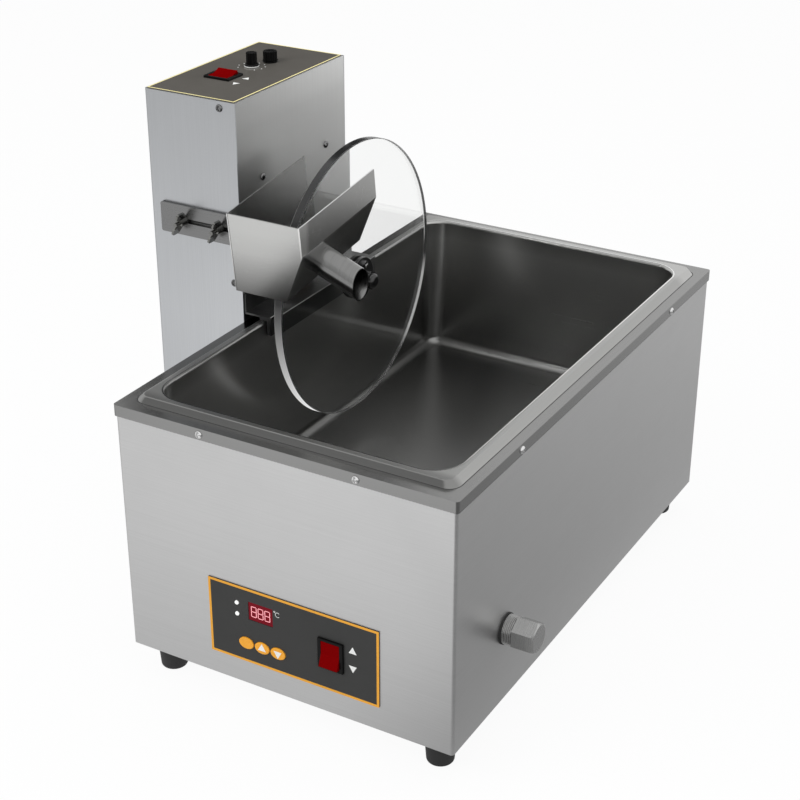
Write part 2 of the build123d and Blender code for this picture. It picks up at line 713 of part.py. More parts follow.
def indicator_leds():
    """Two round lamps with domed ends."""
    lamps = []
    for z in LED_ZS:
        lamp = rod_y(LED_R, FACE_Y, BOARD_Y, LED_X, z)
        lamps.append(lamp + Pos(LED_X, FACE_Y, z) * Sphere(LED_R) - slab(
            LED_X - LED_R, LED_X + LED_R, FACE_Y - LED_R, FACE_Y - LED_R / 3, z - LED_R, z + LED_R))
    return Compound(lamps)


def key_switches():
    """Small push switches on the board behind the keys."""
    half = TACT_SIDE / 2
    return Compound([slab(x - half, x + half, BOARD_Y - TACT_H, BOARD_Y, KEY_Z - half, KEY_Z + half)
                     for x in KEY_XS])


def key(x):
    """Oval key cap with a retaining lip and a stem towards its switch."""
    front = FACE_Y - KEY_PROUD
    back = INNER_Y + HOLE_PLAY + KEY_LIP_T
    cap = Pos(x, back, KEY_Z) * key_slug(0, back - front)
    cap = fillet(cap.faces().sort_by(Axis.Y)[0].edges(), KEY_PROUD / 2)
    lip = Pos(x, back - KEY_LIP_T / 2, KEY_Z) * Box(KEY_LIP_W, KEY_LIP_T, KEY_H + 2 * KEY_LIP)
    stem_end = BOARD_Y - TACT_H - KEY_TRAVEL - RUN
    return cap + lip + rod_y(KEY_STEM_R, back, stem_end, x, KEY_Z)


def base_switch_place():
    """Place of the base's rocker switch: facing the front, tipping up and down."""
    return Pos(BASE_SWITCH_X, FACE_Y, BASE_SWITCH_Z) * Rot(90, 0, 0)


def terminal_block():
    """Mains terminal block on the floor sheet, with one screw well per way."""
    z0 = 2 * SHEET
    body = block(BLOCK_X - BLOCK_L / 2, BLOCK_X + BLOCK_L / 2, BLOCK_Y - BLOCK_W / 2, BLOCK_Y + BLOCK_W / 2,
                 z0, z0 + BLOCK_H, BEND)
    pitch = BLOCK_L / BLOCK_WAYS
    for way in range(BLOCK_WAYS):
        x = BLOCK_X - BLOCK_L / 2 + pitch * (way + 0.5)
        body -= rod_z(pitch / 5, z0 + BLOCK_H / 2, z0 + BLOCK_H, x, BLOCK_Y)
    return body


def base_gland():
    """Mains gland on the back wall."""
    return Pos(BASE_GLAND_X, WALL_Y1, BASE_GLAND_Z) * Rot(-90, 0, 0) * gland()


# Mixer tower
def tower_wrap():
    """Folded tower sheet: front, left and back walls, open to the right."""
    shell = block(TOWER_X0, TOWER_X1 + BEND, TOWER_Y0, TOWER_Y1, 0, TOWER_TOP, BEND)
    shell -= block(TOWER_X0 + SHEET, TOWER_X1 + BEND, TOWER_Y0 + SHEET, TOWER_Y1 - SHEET, 0, TOWER_TOP,
                   BEND - SHEET)
    shell -= slab(TOWER_X1, TOWER_X1 + BEND, TOWER_Y0, TOWER_Y1, 0, TOWER_TOP)
    return shell - rod_y(GLAND_R + HOLE_PLAY, TOWER_Y1 - SHEET, TOWER_Y1, TOWER_GLAND_X, TOWER_GLAND_Z)


def tower_side_panel():
    """Right side panel with flanges behind the front and back walls."""
    y0 = TOWER_Y0 + SHEET
    y1 = TOWER_Y1 - SHEET
    low = SHEET + TRAY_LIP + TRAY_CLEAR
    high = TOWER_TOP - SHEET - TRAY_LIP - TRAY_CLEAR
    panel = slab(PANEL_IN, TOWER_X1, y0, y1, 0, TOWER_TOP)
    panel += slab(TOWER_X1 - TOWER_FLANGE, PANEL_IN, y0, y0 + SHEET, low, high)
    panel += slab(TOWER_X1 - TOWER_FLANGE, PANEL_IN, y1 - SHEET, y1, low, high)
    return panel - rod_x(BUSH_R + RUN, PANEL_IN, TOWER_X1, AXIS_Y, AXIS_Z)


def tower_tray(z0, lip_up):
    """Plate that closes one end of the tower, with lips along its four walls."""
    x0 = TOWER_X0 + SHEET
    y0 = TOWER_Y0 + SHEET
    y1 = TOWER_Y1 - SHEET
    lip0 = z0 if lip_up else z0 - TRAY_LIP
    lip1 = lip0 + SHEET + TRAY_LIP
    tray = block(x0, PANEL_IN, y0, y1, lip0, lip1, BEND - SHEET)
    hollow0 = z0 + SHEET if lip_up else lip0
    hollow1 = lip1 if lip_up else z0
    return tray - slab(x0 + SHEET, PANEL_IN - SHEET, y0 + SHEET, y1 - SHEET, hollow0, hollow1)


def top_cuts():
    """Cutters through the tower's top for the switch, speed control and fuse."""
    z0 = TOWER_TOP - SHEET
    depth = SHEET + TOP_FASCIA_T
    cuts = Pos(TOWER_SWITCH_X, TOWER_SWITCH_Y, z0 + depth / 2) * switch_hole(
        TOWER_SWITCH_W, TOWER_SWITCH_L, depth)
    cuts += rod_z(POT_NECK_R + HOLE_PLAY, z0, z0 + depth, KNOB_X, KNOB_Y)
    return cuts + rod_z(FUSE_BARREL_R + HOLE_PLAY, z0, z0 + depth, FUSE_X, FUSE_Y)


def tower_top_plate():
    """Top plate of the tower with the control holes."""
    return tower_tray(TOWER_TOP - SHEET, False) - top_cuts()


def tower_floor():
    """Bottom plate of the tower."""
    return tower_tray(0, True)


def tower_feet():
    """Four rubber feet under the tower."""
    xs = (TOWER_X0 + TOWER_FOOT_INSET, TOWER_X1 - TOWER_FOOT_INSET)
    ys = (TOWER_Y0 + TOWER_FOOT_INSET, TOWER_Y1 - TOWER_FOOT_INSET)
    return Compound([Pos(x, y, 0) * taper_foot(TOWER_FOOT_R_TOP, TOWER_FOOT_R_BOTTOM)
                     for x in xs for y in ys])


def tower_screws():
    """Round heads that hold the front and back walls to the side panel and the top plate."""
    spots = ((TOWER_SCREW_TOP_IN, TOWER_TOP - TOWER_SCREW_DROP), (TOWER_SCREW_IN, AXIS_Z + TOWER_SCREW_ABOVE),
             (TOWER_SCREW_IN, TOWER_SCREW_LOW))
    heads = []
    for inset, z in spots:
        x = TOWER_X1 - inset
        heads.append(Pos(x, TOWER_Y0, z) * Rot(90, 0, 0) * screw_head())
        heads.append(Pos(x, TOWER_Y1, z) * Rot(-90, 0, 0) * screw_head())
    return Compound(heads)


def tower_fascia():
    """Label plate on the tower's top."""
    edge = TOP_FASCIA_INSET
    plate = block(TOWER_X0 + edge, TOWER_X1 - edge, TOWER_Y0 + edge, TOWER_Y1 - edge,
                  TOWER_TOP, TOWER_TOP + TOP_FASCIA_T, FASCIA_R)
    return plate - top_cuts()


def tower_switch_place():
    """Place of the tower's rocker switch: facing up, tipping front to back."""
    return Pos(TOWER_SWITCH_X, TOWER_SWITCH_Y, TOWER_TOP + TOP_FASCIA_T)


def speed_potentiometer():
    """Speed control: round case under the top plate and a neck through it."""
    z = TOWER_TOP - SHEET
    top = TOWER_TOP + TOP_FASCIA_T + KNOB_LIFT + POT_NECK_UP
    pot = rod_z(POT_R, z - POT_H, z, KNOB_X, KNOB_Y) + rod_z(POT_NECK_R, z, top, KNOB_X, KNOB_Y)
    return pot - rod_z(POT_STEM_R + RUN, z - POT_H / 2, top, KNOB_X, KNOB_Y)


def speed_knob():
    """Fluted knob on a skirt, with the control's stem."""
    z = TOWER_TOP + TOP_FASCIA_T + KNOB_LIFT
    knob = rod_z(KNOB_SKIRT_R, z, z + KNOB_SKIRT_H, KNOB_X, KNOB_Y)
    knob = chamfer(knob.edges().sort_by(Axis.Z)[-1], KNOB_SKIRT_H / 3)
    grip = rod_z(KNOB_R, z + KNOB_SKIRT_H, z + KNOB_H, KNOB_X, KNOB_Y)
    for turn in range(KNOB_FLUTES):
        angle = 2 * math.pi * turn / KNOB_FLUTES
        x = KNOB_X + KNOB_R * math.cos(angle)
        y = KNOB_Y + KNOB_R * math.sin(angle)
        grip -= rod_z(KNOB_FLUTE_R, z + KNOB_SKIRT_H, z + KNOB_H, x, y)
    hollow = rod_z(POT_NECK_R + HOLE_PLAY, z, z + POT_NECK_UP + HOLE_PLAY, KNOB_X, KNOB_Y)
    stem = rod_z(POT_STEM_R, TOWER_TOP - SHEET - POT_H / 2 + HOLE_PLAY, z + KNOB_H / 2 + KNOB_SKIRT_H,
                 KNOB_X, KNOB_Y)
    return knob + grip - hollow + stem


def fuse_holder():
    """Fuse holder barrel with its flange on the fascia."""
    z = TOWER_TOP + TOP_FASCIA_T
    body = rod_z(FUSE_FLANGE_R, z, z + FUSE_FLANGE_T, FUSE_X, FUSE_Y)
    body += rod_z(FUSE_BARREL_R, z - FUSE_BARREL_L, z, FUSE_X, FUSE_Y)
    return body - rod_z(FUSE_BORE_R, z - FUSE_STEM_L - FUSE_SLOT_D, z + FUSE_FLANGE_T, FUSE_X, FUSE_Y)


def fuse_cap():
    """Ribbed bayonet cap of the fuse holder, with its carrier stem and a coin slot."""
    z = TOWER_TOP + TOP_FASCIA_T + FUSE_FLANGE_T + HOLE_PLAY
    cap = rod_z(FUSE_CAP_R - FUSE_RIB_R, z, z + FUSE_CAP_H, FUSE_X, FUSE_Y)
    for turn in range(FUSE_RIBS):
        angle = 2 * math.pi * turn / FUSE_RIBS
        x = FUSE_X + (FUSE_CAP_R - FUSE_RIB_R) * math.cos(angle)
        y = FUSE_Y + (FUSE_CAP_R - FUSE_RIB_R) * math.sin(angle)
        cap += rod_z(FUSE_RIB_R, z, z + FUSE_CAP_H - FUSE_RIB_R, x, y)
    slot = Pos(FUSE_X, FUSE_Y, z + FUSE_CAP_H) * Box(FUSE_SLOT_L, FUSE_SLOT_W, 2 * FUSE_SLOT_D)
    stem = rod_z(FUSE_BORE_R - HOLE_PLAY, z - FUSE_STEM_L, z, FUSE_X, FUSE_Y)
    return cap - slot + stem


def motor_bracket():
    """Mounting plate of the drive, behind the side panel."""
    height = BRACKET_Z1 - BRACKET_Z0
    plate = extrude(Plane.YZ * RectangleRounded(BRACKET_Y, height, BRACKET_R), BRACKET_T)
    plate = Pos(BRACKET_IN, AXIS_Y + BRACKET_OFF_Y, BRACKET_Z0 + height / 2) * plate
    return plate - rod_x(BUSH_R + RUN, BRACKET_IN, PANEL_IN, AXIS_Y, AXIS_Z)


def bracket_screws():
    """Round heads on the side panel that hold the drive's plate."""
    mid_y = AXIS_Y + BRACKET_OFF_Y
    return Compound([Pos(TOWER_X1, mid_y + side * BRACKET_SCREW_Y, AXIS_Z + rise) * Rot(0, 90, 0) * screw_head()
                     for side in (-1, 1) for rise in BRACKET_SCREW_RISES])


def shaft_bush():
    """Flanged bush that carries the shaft in the side panel."""
    bush = rod_x(BUSH_R, BRACKET_IN, TOWER_X1, AXIS_Y, AXIS_Z)
    bush += rod_x(BUSH_FLANGE_R, TOWER_X1, TOWER_X1 + BUSH_FLANGE_T, AXIS_Y, AXIS_Z)
    return bush - rod_x(SHAFT_R + RUN, BRACKET_IN, TOWER_X1 + BUSH_FLANGE_T, AXIS_Y, AXIS_Z)


def gearbox():
    """Worm gearbox on the drive's plate, with the shaft's socket."""
    x0 = BRACKET_IN - GEARBOX_X
    body = slab(x0, BRACKET_IN, AXIS_Y - GEARBOX_Y / 2, AXIS_Y + GEARBOX_Y / 2,
                AXIS_Z - GEARBOX_Z / 2, AXIS_Z + GEARBOX_Z / 2)
    body = fillet(body.edges().filter_by(Axis.X), GEARBOX_R)
    return body - rod_x(SHAFT_R + RUN, BRACKET_IN - SHAFT_IN + SHAFT_R, BRACKET_IN, AXIS_Y, AXIS_Z)


def gear_motor():
    """Motor standing below the gearbox, with a narrower end cap."""
    x = BRACKET_IN - MOTOR_SETBACK - MOTOR_R
    top = AXIS_Z - GEARBOX_Z / 2
    can = rod_z(MOTOR_R, top - MOTOR_L + MOTOR_CAP, top, x, AXIS_Y)
    cap = rod_z(MOTOR_CAP_R, top - MOTOR_L, top - MOTOR_L + MOTOR_CAP, x, AXIS_Y)
    return can + fillet(cap.edges().sort_by(Axis.Z)[0], MOTOR_CAP / 3)


def speed_board():
    """Motor speed board on four posts on the tower's left wall."""
    x0 = TOWER_X0 + SHEET
    x1 = x0 + SPEED_BOARD_STAND
    y0 = AXIS_Y - SPEED_BOARD_Y / 2
    z0 = AXIS_Z + SPEED_BOARD_RISE - SPEED_BOARD_Z / 2
    board = slab(x1, x1 + BOARD_T, y0, y0 + SPEED_BOARD_Y, z0, z0 + SPEED_BOARD_Z)
    for y in (y0 + POST_EDGE, y0 + SPEED_BOARD_Y - POST_EDGE):
        for z in (z0 + POST_EDGE, z0 + SPEED_BOARD_Z - POST_EDGE):
            board += rod_x(POST_R, x0, x1, y, z)
    return board


def tower_gland():
    """Mains gland on the tower's back wall."""
    return Pos(TOWER_GLAND_X, TOWER_Y1, TOWER_GLAND_Z) * Rot(-90, 0, 0) * gland()


def rim_hanger():
    """Folded hook that ties the tower to the pan's rim: upstand, shelf and leg."""
    y0 = AXIS_Y - HANGER_Y / 2
    y1 = AXIS_Y + HANGER_Y / 2
    hook = slab(TOWER_X1, HANGER_REACH, y0, y1, HANGER_Z, HANGER_Z + HANGER_T)
    hook += slab(TOWER_X1, TOWER_X1 + HANGER_T, y0, y1, HANGER_Z, HANGER_Z + HANGER_UPSTAND)
    hook += slab(HANGER_REACH - HANGER_T, HANGER_REACH, y0, y1, HANGER_Z - HANGER_LEG, HANGER_Z + HANGER_T)
    notch = HANGER_NOTCH / 2
    return hook - slab(TOWER_X1, TOWER_X1 + HANGER_T, AXIS_Y - notch, AXIS_Y + notch,
                       HANGER_Z + HANGER_T, HANGER_Z + HANGER_UPSTAND)


def hanger_pad():
    """Rubber strip between the hook and the pan's rim."""
    y0 = AXIS_Y - HANGER_Y / 2
    y1 = AXIS_Y + HANGER_Y / 2
    leg_x = HANGER_REACH - HANGER_T
    pad = slab(PAD_X0, leg_x, y0, y1, RIM_Z, HANGER_Z)
    return pad + slab(leg_x - PAD_LEG_T, leg_x, y0, y1, HANGER_Z - HANGER_LEG, HANGER_Z)


def clamp_studs():
    """Two studs on the tower's front wall for the scraper's bar."""
    return Compound([rod_y(STUD_R, TOWER_Y0 - STUD_L, TOWER_Y0, x, BAR_Z) for x in STUD_XS])


# Mixing wheel
def on_pitch_circle(shape):
    """Copies of a shape drawn along z, set on the hub's pitch circle along x."""
    copies = []
    for turn in range(HUB_SCREWS):
        angle = math.radians(HUB_PHASE) + 2 * math.pi * turn / HUB_SCREWS
        y = AXIS_Y + HUB_PITCH_R * math.cos(angle)
        z = AXIS_Z + HUB_PITCH_R * math.sin(angle)
        copies.append(Pos(DISC_BACK - HUB_T, y, z) * Rot(0, 90, 0) * shape)
    return copies


def hub_holes():
    """Cutters for the hub's screw holes through both flanges and the disc."""
    return Compound(on_pitch_circle(rod(HUB_HOLE_R, 2 * HUB_T + DISC_T)))


def drive_shaft():
    """Shaft from the gearbox to the wheel's nut."""
    shaft = rod_x(SHAFT_R, BRACKET_IN - SHAFT_IN + SHAFT_R + HOLE_PLAY, SHAFT_END, AXIS_Y, AXIS_Z)
    return chamfer(shaft.edges().filter_by(GeomType.CIRCLE), SHAFT_R / 6)


def mixing_disc():
    """Clear round disc that dips into the pan."""
    disc = rod_x(DISC_R, DISC_BACK, DISC_FACE, AXIS_Y, AXIS_Z)
    disc = chamfer(disc.edges().filter_by(GeomType.CIRCLE), DISC_EDGE)
    return disc - rod_x(SHAFT_R + RUN, DISC_BACK, DISC_FACE, AXIS_Y, AXIS_Z) - hub_holes()


def hub_inner_flange():
    """Flange with a boss on the tower side of the disc."""
    hub = rod_x(HUB_R, DISC_BACK - HUB_T, DISC_BACK, AXIS_Y, AXIS_Z)
    hub += rod_x(HUB_BOSS_R, DISC_BACK - HUB_T - HUB_BOSS_L, DISC_BACK - HUB_T, AXIS_Y, AXIS_Z)
    bore = rod_x(SHAFT_R + RUN, DISC_BACK - HUB_T - HUB_BOSS_L, DISC_BACK, AXIS_Y, AXIS_Z)
    return hub - bore - hub_holes()


def hub_clamp_flange():
    """Flange that clamps the disc from its open side."""
    flange = rod_x(HUB_R, DISC_FACE, NUT_X, AXIS_Y, AXIS_Z)
    flange = chamfer(flange.edges().sort_by(Axis.X)[-1], HUB_T / 8)
    return flange - rod_x(SHAFT_R + RUN, DISC_FACE, NUT_X, AXIS_Y, AXIS_Z) - hub_holes()


def hub_screws():
    """Cap screws through the hub."""
    reach = 2 * HUB_T + DISC_T
    head = Pos(0, 0, reach) * rod(HUB_HEAD_R, HUB_HEAD_H)
    head -= Pos(0, 0, reach + HUB_HEAD_H / 2) * hex_rod(HUB_HEAD_R, HUB_HEAD_H / 2)
    return Compound(on_pitch_circle(rod(HUB_SCREW_R, reach) + head))


def hub_nut():
    """Domed cap nut on the end of the shaft."""
    nut = hex_rod(HUB_NUT, HUB_NUT_T)
    dome = Pos(0, 0, HUB_NUT_T) * rod(HUB_NUT / 2 - HUB_NUT_SHOULDER, HUB_NUT_DOME)
    dome = fillet(dome.edges().sort_by(Axis.Z)[-1], HUB_NUT_DOME - HUB_NUT_SHOULDER)
    nut = Pos(NUT_X, AXIS_Y, AXIS_Z) * Rot(0, 90, 0) * (nut + dome)
    return nut - rod_x(SHAFT_R + RUN, NUT_X, SHAFT_END + HOLE_PLAY, AXIS_Y, AXIS_Z)


# Scraper
def hopper_place():
    """Place of the hopper: its front top edge, tipped down towards the front."""
    return Pos(0, HOP_Y, HOP_Z) * Rot(HOP_TILT, 0, 0)


def slope_run():
    """Sideways run of the hopper's sloping wall."""
    return HOP_X1 - HOP_X0 - HOP_FLOOR_W


def slope_angle():
    """Angle of the sloping wall from upright."""
    return math.atan2(slope_run(), HOP_DEPTH - HOP_WALL)


def hopper_section(inset):
    """Trough section in x and z, inset from its outside by a sheet thickness."""
    lean = slope_angle()
    right = HOP_X1 - inset
    fold_z = -HOP_WALL - inset * math.tan(lean / 2)
    floor_z = -HOP_DEPTH + inset
    floor_x = right - (fold_z - floor_z) * math.tan(lean)
    left = HOP_X0 + inset
    outline = Polyline((left, 0), (right, 0), (right, fold_z), (floor_x, floor_z), (left, floor_z), close=True)
    return Plane.XZ * make_face(outline)


def spout_root():
    """Middle of the spout on the outside of the sloping wall, before tipping."""
    return HOP_X1 - SPOUT_DROP * math.tan(slope_angle()), SPOUT_ALONG, -HOP_WALL - SPOUT_DROP


def spout_rod(radius, start, length):
    """Cylinder square to the sloping wall at the spout."""
    x, y, z = spout_root()
    return Pos(x, y, z) * Rot(0, 90 + math.degrees(slope_angle()), 0) * Pos(0, 0, start) * rod(radius, length)


def scraper_hopper():
    """Folded trough astride the disc: front plate, open back and a slot in its floor."""
    trough = extrude(hopper_section(0), -HOP_L)
    trough -= Pos(0, SHEET, 0) * extrude(hopper_section(SHEET), -HOP_L)
    trough -= slab(DISC_BACK - DISC_PLAY, DISC_FACE + DISC_PLAY, SHEET, HOP_L, -HOP_DEPTH,
                   SHEET - HOP_DEPTH)
    trough -= spout_rod(SPOUT_R - SPOUT_T, -2 * SHEET, 2 * SHEET)
    return hopper_place() * trough


def spout_tube():
    """Round spout square to the sloping wall, its end cut upright."""
    x, y, z = spout_root()
    reach = 2 * (SPOUT_END_X - x)
    tube = spout_rod(SPOUT_R, 0, reach) - spout_rod(SPOUT_R - SPOUT_T, 0, reach)
    waste = slab(SPOUT_END_X, x + reach, y - SPOUT_R, y + SPOUT_R, z - reach, z + reach)
    return hopper_place() * (tube - waste)


def slotted_bar():
    """Slotted flat bar from the tower's front to the hopper's left wall."""
    bar = Pos((BAR_X0 + HOP_X0) / 2, BAR_Y1, BAR_Z) * Rot(90, 0, 0) * extrude(
        Rectangle(HOP_X0 - BAR_X0, BAR_H), BAR_T)
    corners = bar.edges().filter_by(Axis.Y).group_by(Axis.X)[0]
    bar = fillet(corners, BAR_R)
    slot_x0 = STUD_XS[0] - SLOT_PAST
    slot = Pos((slot_x0 + SLOT_X1) / 2, BAR_Y1, BAR_Z) * Rot(90, 0, 0) * extrude(
        SlotOverall(SLOT_X1 - slot_x0, SLOT_H), BAR_T)
    return bar - slot


def wing_nut(x):
    """Wing nut: round hub that narrows to its nose, and two raised wings."""
    hub = Cone(NUT_R, NUT_NOSE_R, NUT_L, align=(Align.CENTER, Align.CENTER, Align.MIN))
    wing = Polyline((0, WING_T / 2), (NUT_R, WING_T / 2), (WING_SPAN, WING_ROOT),
                    (WING_SPAN, NUT_L + WING_RISE), (WING_SPAN - WING_ROOT, NUT_L + WING_RISE),
                    (0, NUT_L - WING_T), close=True)
    blade = make_face(wing)
    tips = blade.vertices().group_by(Axis.X)[-1]
    blade = Plane.XZ * fillet(tips, WING_R)
    blade = extrude(blade, WING_T / 2, both=True)
    nut = hub + blade + Rot(0, 0, 180) * blade - rod(STUD_R + RUN, NUT_L + WING_RISE)
    return Pos(x, NUT_Y1, BAR_Z) * Rot(90, 0, 0) * Rot(0, 0, WING_TURN) * nut


NODES = {
    "housing_wrap": housing_wrap,
    "bottom_plate": bottom_plate,
    "top_cover": top_cover,
    "cover_screws": cover_screws,
    "food_pan": food_pan,
    "bath_tank": bath_tank,
    "heating_element": heating_element,
    "temperature_probe": temperature_probe,
    "drain_elbow": drain_elbow,
    "drain_seal": drain_seal,
    "drain_plug": drain_plug,
    "base_feet": base_feet,
    "control_fascia": control_fascia,
    "control_board": control_board,
    "display_module": display_module,
    "indicator_leds": indicator_leds,
    "key_switches": key_switches,
    "key_set": lambda: key(KEY_XS[0]),
    "key_rise": lambda: key(KEY_XS[1]),
    "key_fall": lambda: key(KEY_XS[2]),
    "base_switch_body": lambda: base_switch_place() * switch_body(BASE_SWITCH_W, BASE_SWITCH_L),
    "base_switch_rocker": lambda: base_switch_place() * switch_rocker(BASE_SWITCH_W, BASE_SWITCH_L),
    "terminal_block": terminal_block,
    "base_gland": base_gland,
    "tower_wrap": tower_wrap,
    "tower_side_panel": tower_side_panel,
    "tower_top_plate": tower_top_plate,
    "tower_floor": tower_floor,
    "tower_feet": tower_feet,
    "tower_screws": tower_screws,
    "tower_fascia": tower_fascia,
    "tower_switch_body": lambda: tower_switch_place() * switch_body(TOWER_SWITCH_W, TOWER_SWITCH_L),
    "tower_switch_rocker": lambda: tower_switch_place() * Rot(0, 0, 180) * switch_rocker(
        TOWER_SWITCH_W, TOWER_SWITCH_L),
    "speed_potentiometer": speed_potentiometer,
    "speed_knob": speed_knob,
    "fuse_holder": fuse_holder,
    "fuse_cap": fuse_cap,
    "motor_bracket": motor_bracket,
    "bracket_screws": bracket_screws,
    "shaft_bush": shaft_bush,
    "gearbox": gearbox,
    "gear_motor": gear_motor,
    "speed_board": speed_board,
    "tower_gland": tower_gland,
    "rim_hanger": rim_hanger,
    "hanger_pad": hanger_pad,
    "clamp_studs": clamp_studs,
    "drive_shaft": drive_shaft,
    "mixing_disc": mixing_disc,
    "hub_inner_flange": hub_inner_flange,
    "hub_clamp_flange": hub_clamp_flange,
    "hub_screws": hub_screws,
    "hub_nut": hub_nut,
    "scraper_hopper": scraper_hopper,
    "spout_tube": spout_tube,
    "slotted_bar": slotted_bar,
    "wing_nut_left": lambda: wing_nut(STUD_XS[0]),
    "wing_nut_right": lambda: wing_nut(STUD_XS[1]),
}


def main():
    """Build every piece and write it with the origin under the middle of the machine."""
    os.makedirs("parts", exist_ok=True)
    pieces = {name: make() for name, make in NODES.items()}
    boxes = [piece.bounding_box() for piece in pieces.values()]
    mid_x = (min(box.min.X for box in boxes) + max(box.max.X for box in boxes)) / 2
    mid_y = (min(box.min.Y for box in boxes) + max(box.max.Y for box in boxes)) / 2
    low_z = min(box.min.Z for box in boxes)
    print(f"origin at x {mid_x:.4f}, y {mid_y:.4f}, z {low_z:.4f} of the drawing")
    for name, piece in pieces.items():
        export_step(Pos(-mid_x, -mid_y, -low_z) * piece, f"parts/{name}.step")


main()
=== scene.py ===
"""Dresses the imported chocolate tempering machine: finishes, printed marks, fasteners and a plain studio.

Sizes in the classes are millimetres of the drawing, whose zero is the front left corner of the cover, at the
lower edge of the base's sheet metal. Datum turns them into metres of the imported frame.
"""

import logging
import math
from dataclasses import dataclass
from enum import Enum

import bmesh
import bpy
from bmesh.types import BMesh
from bmesh.types import BMFace
from bmesh.types import BMVert
from bpy.types import Material
from bpy.types import Mesh
from bpy.types import Node
from bpy.types import NodeOutputs
from bpy.types import NodeSocket
from bpy.types import NodeTree
from bpy.types import Object
from mathutils import Matrix
from mathutils import Vector


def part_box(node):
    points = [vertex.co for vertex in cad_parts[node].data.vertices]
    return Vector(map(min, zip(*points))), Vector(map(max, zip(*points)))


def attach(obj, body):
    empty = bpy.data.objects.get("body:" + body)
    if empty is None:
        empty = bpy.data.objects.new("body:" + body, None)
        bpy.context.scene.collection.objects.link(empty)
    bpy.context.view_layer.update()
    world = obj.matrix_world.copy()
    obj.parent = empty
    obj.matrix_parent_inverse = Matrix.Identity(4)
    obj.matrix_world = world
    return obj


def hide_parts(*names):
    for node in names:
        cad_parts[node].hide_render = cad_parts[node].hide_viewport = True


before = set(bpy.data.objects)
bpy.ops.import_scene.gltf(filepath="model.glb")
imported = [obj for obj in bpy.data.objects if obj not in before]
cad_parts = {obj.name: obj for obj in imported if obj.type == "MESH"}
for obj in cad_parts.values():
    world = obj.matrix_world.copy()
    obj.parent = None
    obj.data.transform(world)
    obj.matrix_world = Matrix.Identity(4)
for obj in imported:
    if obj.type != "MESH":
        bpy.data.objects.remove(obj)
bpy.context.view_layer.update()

LOG = logging.getLogger("tempering_machine")
MM = 0.001
PRINT_T = 0.06
SHARP_ANGLE = math.radians(32)
MERGE_M = 1e-7
MERGE_MM = 1e-5
CORNER_STEPS = 12
FULL_TURN = 2 * math.pi
RELIEF = 0.0002
HANDLING_MARKS = 14.0
GROUND_DEPTH = 0.0008
BLACK = (0.0, 0.0, 0.0)
WHITE = (1.0, 1.0, 1.0, 1.0)

Colour = tuple[float, float, float]
Place = tuple[float, float, float]
Span = tuple[float, float]
Stops = tuple[Span, ...]


class Datum:
    """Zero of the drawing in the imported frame, found from the cover's box."""

    COVER_TOP = 252.0

    def __init__(self) -> None:
        """Read the cover's corners."""
        low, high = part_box("top_cover")
        self.zero = Vector((low.x, low.y, high.z - self.COVER_TOP * MM))

    def at(self, x: float, y: float, z: float) -> Vector:
        """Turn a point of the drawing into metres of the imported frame.

        Args:
            x: Millimetres to the right of the cover's left edge.
            y: Millimetres behind the cover's front edge.
            z: Millimetres above the base's lower sheet edge.

        Returns:
            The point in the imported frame.
        """
        return self.zero + Vector((x, y, z)) * MM


class Facing(Enum):
    """Side that a mark or fastener drawn on the xy plane looks towards, as its turn about z in degrees."""

    FRONT = 0.0
    RIGHT = 90.0
    BACK = 180.0
    LEFT = -90.0
    UP = None

    def turn(self) -> Matrix:
        """Rotation that brings +z to this side and keeps +y upright, or to the back when it faces up."""
        if self is Facing.UP:
            return Matrix.Identity(4)
        upright = Matrix.Rotation(math.radians(90), 4, "X")
        return Matrix.Rotation(math.radians(self.value), 4, "Z") @ upright


class Grain(Enum):
    """Noise frequencies per metre in x, y and z that give a brushing direction."""

    LEVEL = (9.0, 9.0, 1500.0)
    LENGTHWISE = (1500.0, 7.0, 1500.0)
    CROSSWISE = (7.0, 1500.0, 1500.0)
    UPRIGHT = (1500.0, 1500.0, 7.0)
    TURNED_X = (2200.0, 40.0, 40.0)
    SATIN = (700.0, 700.0, 700.0)


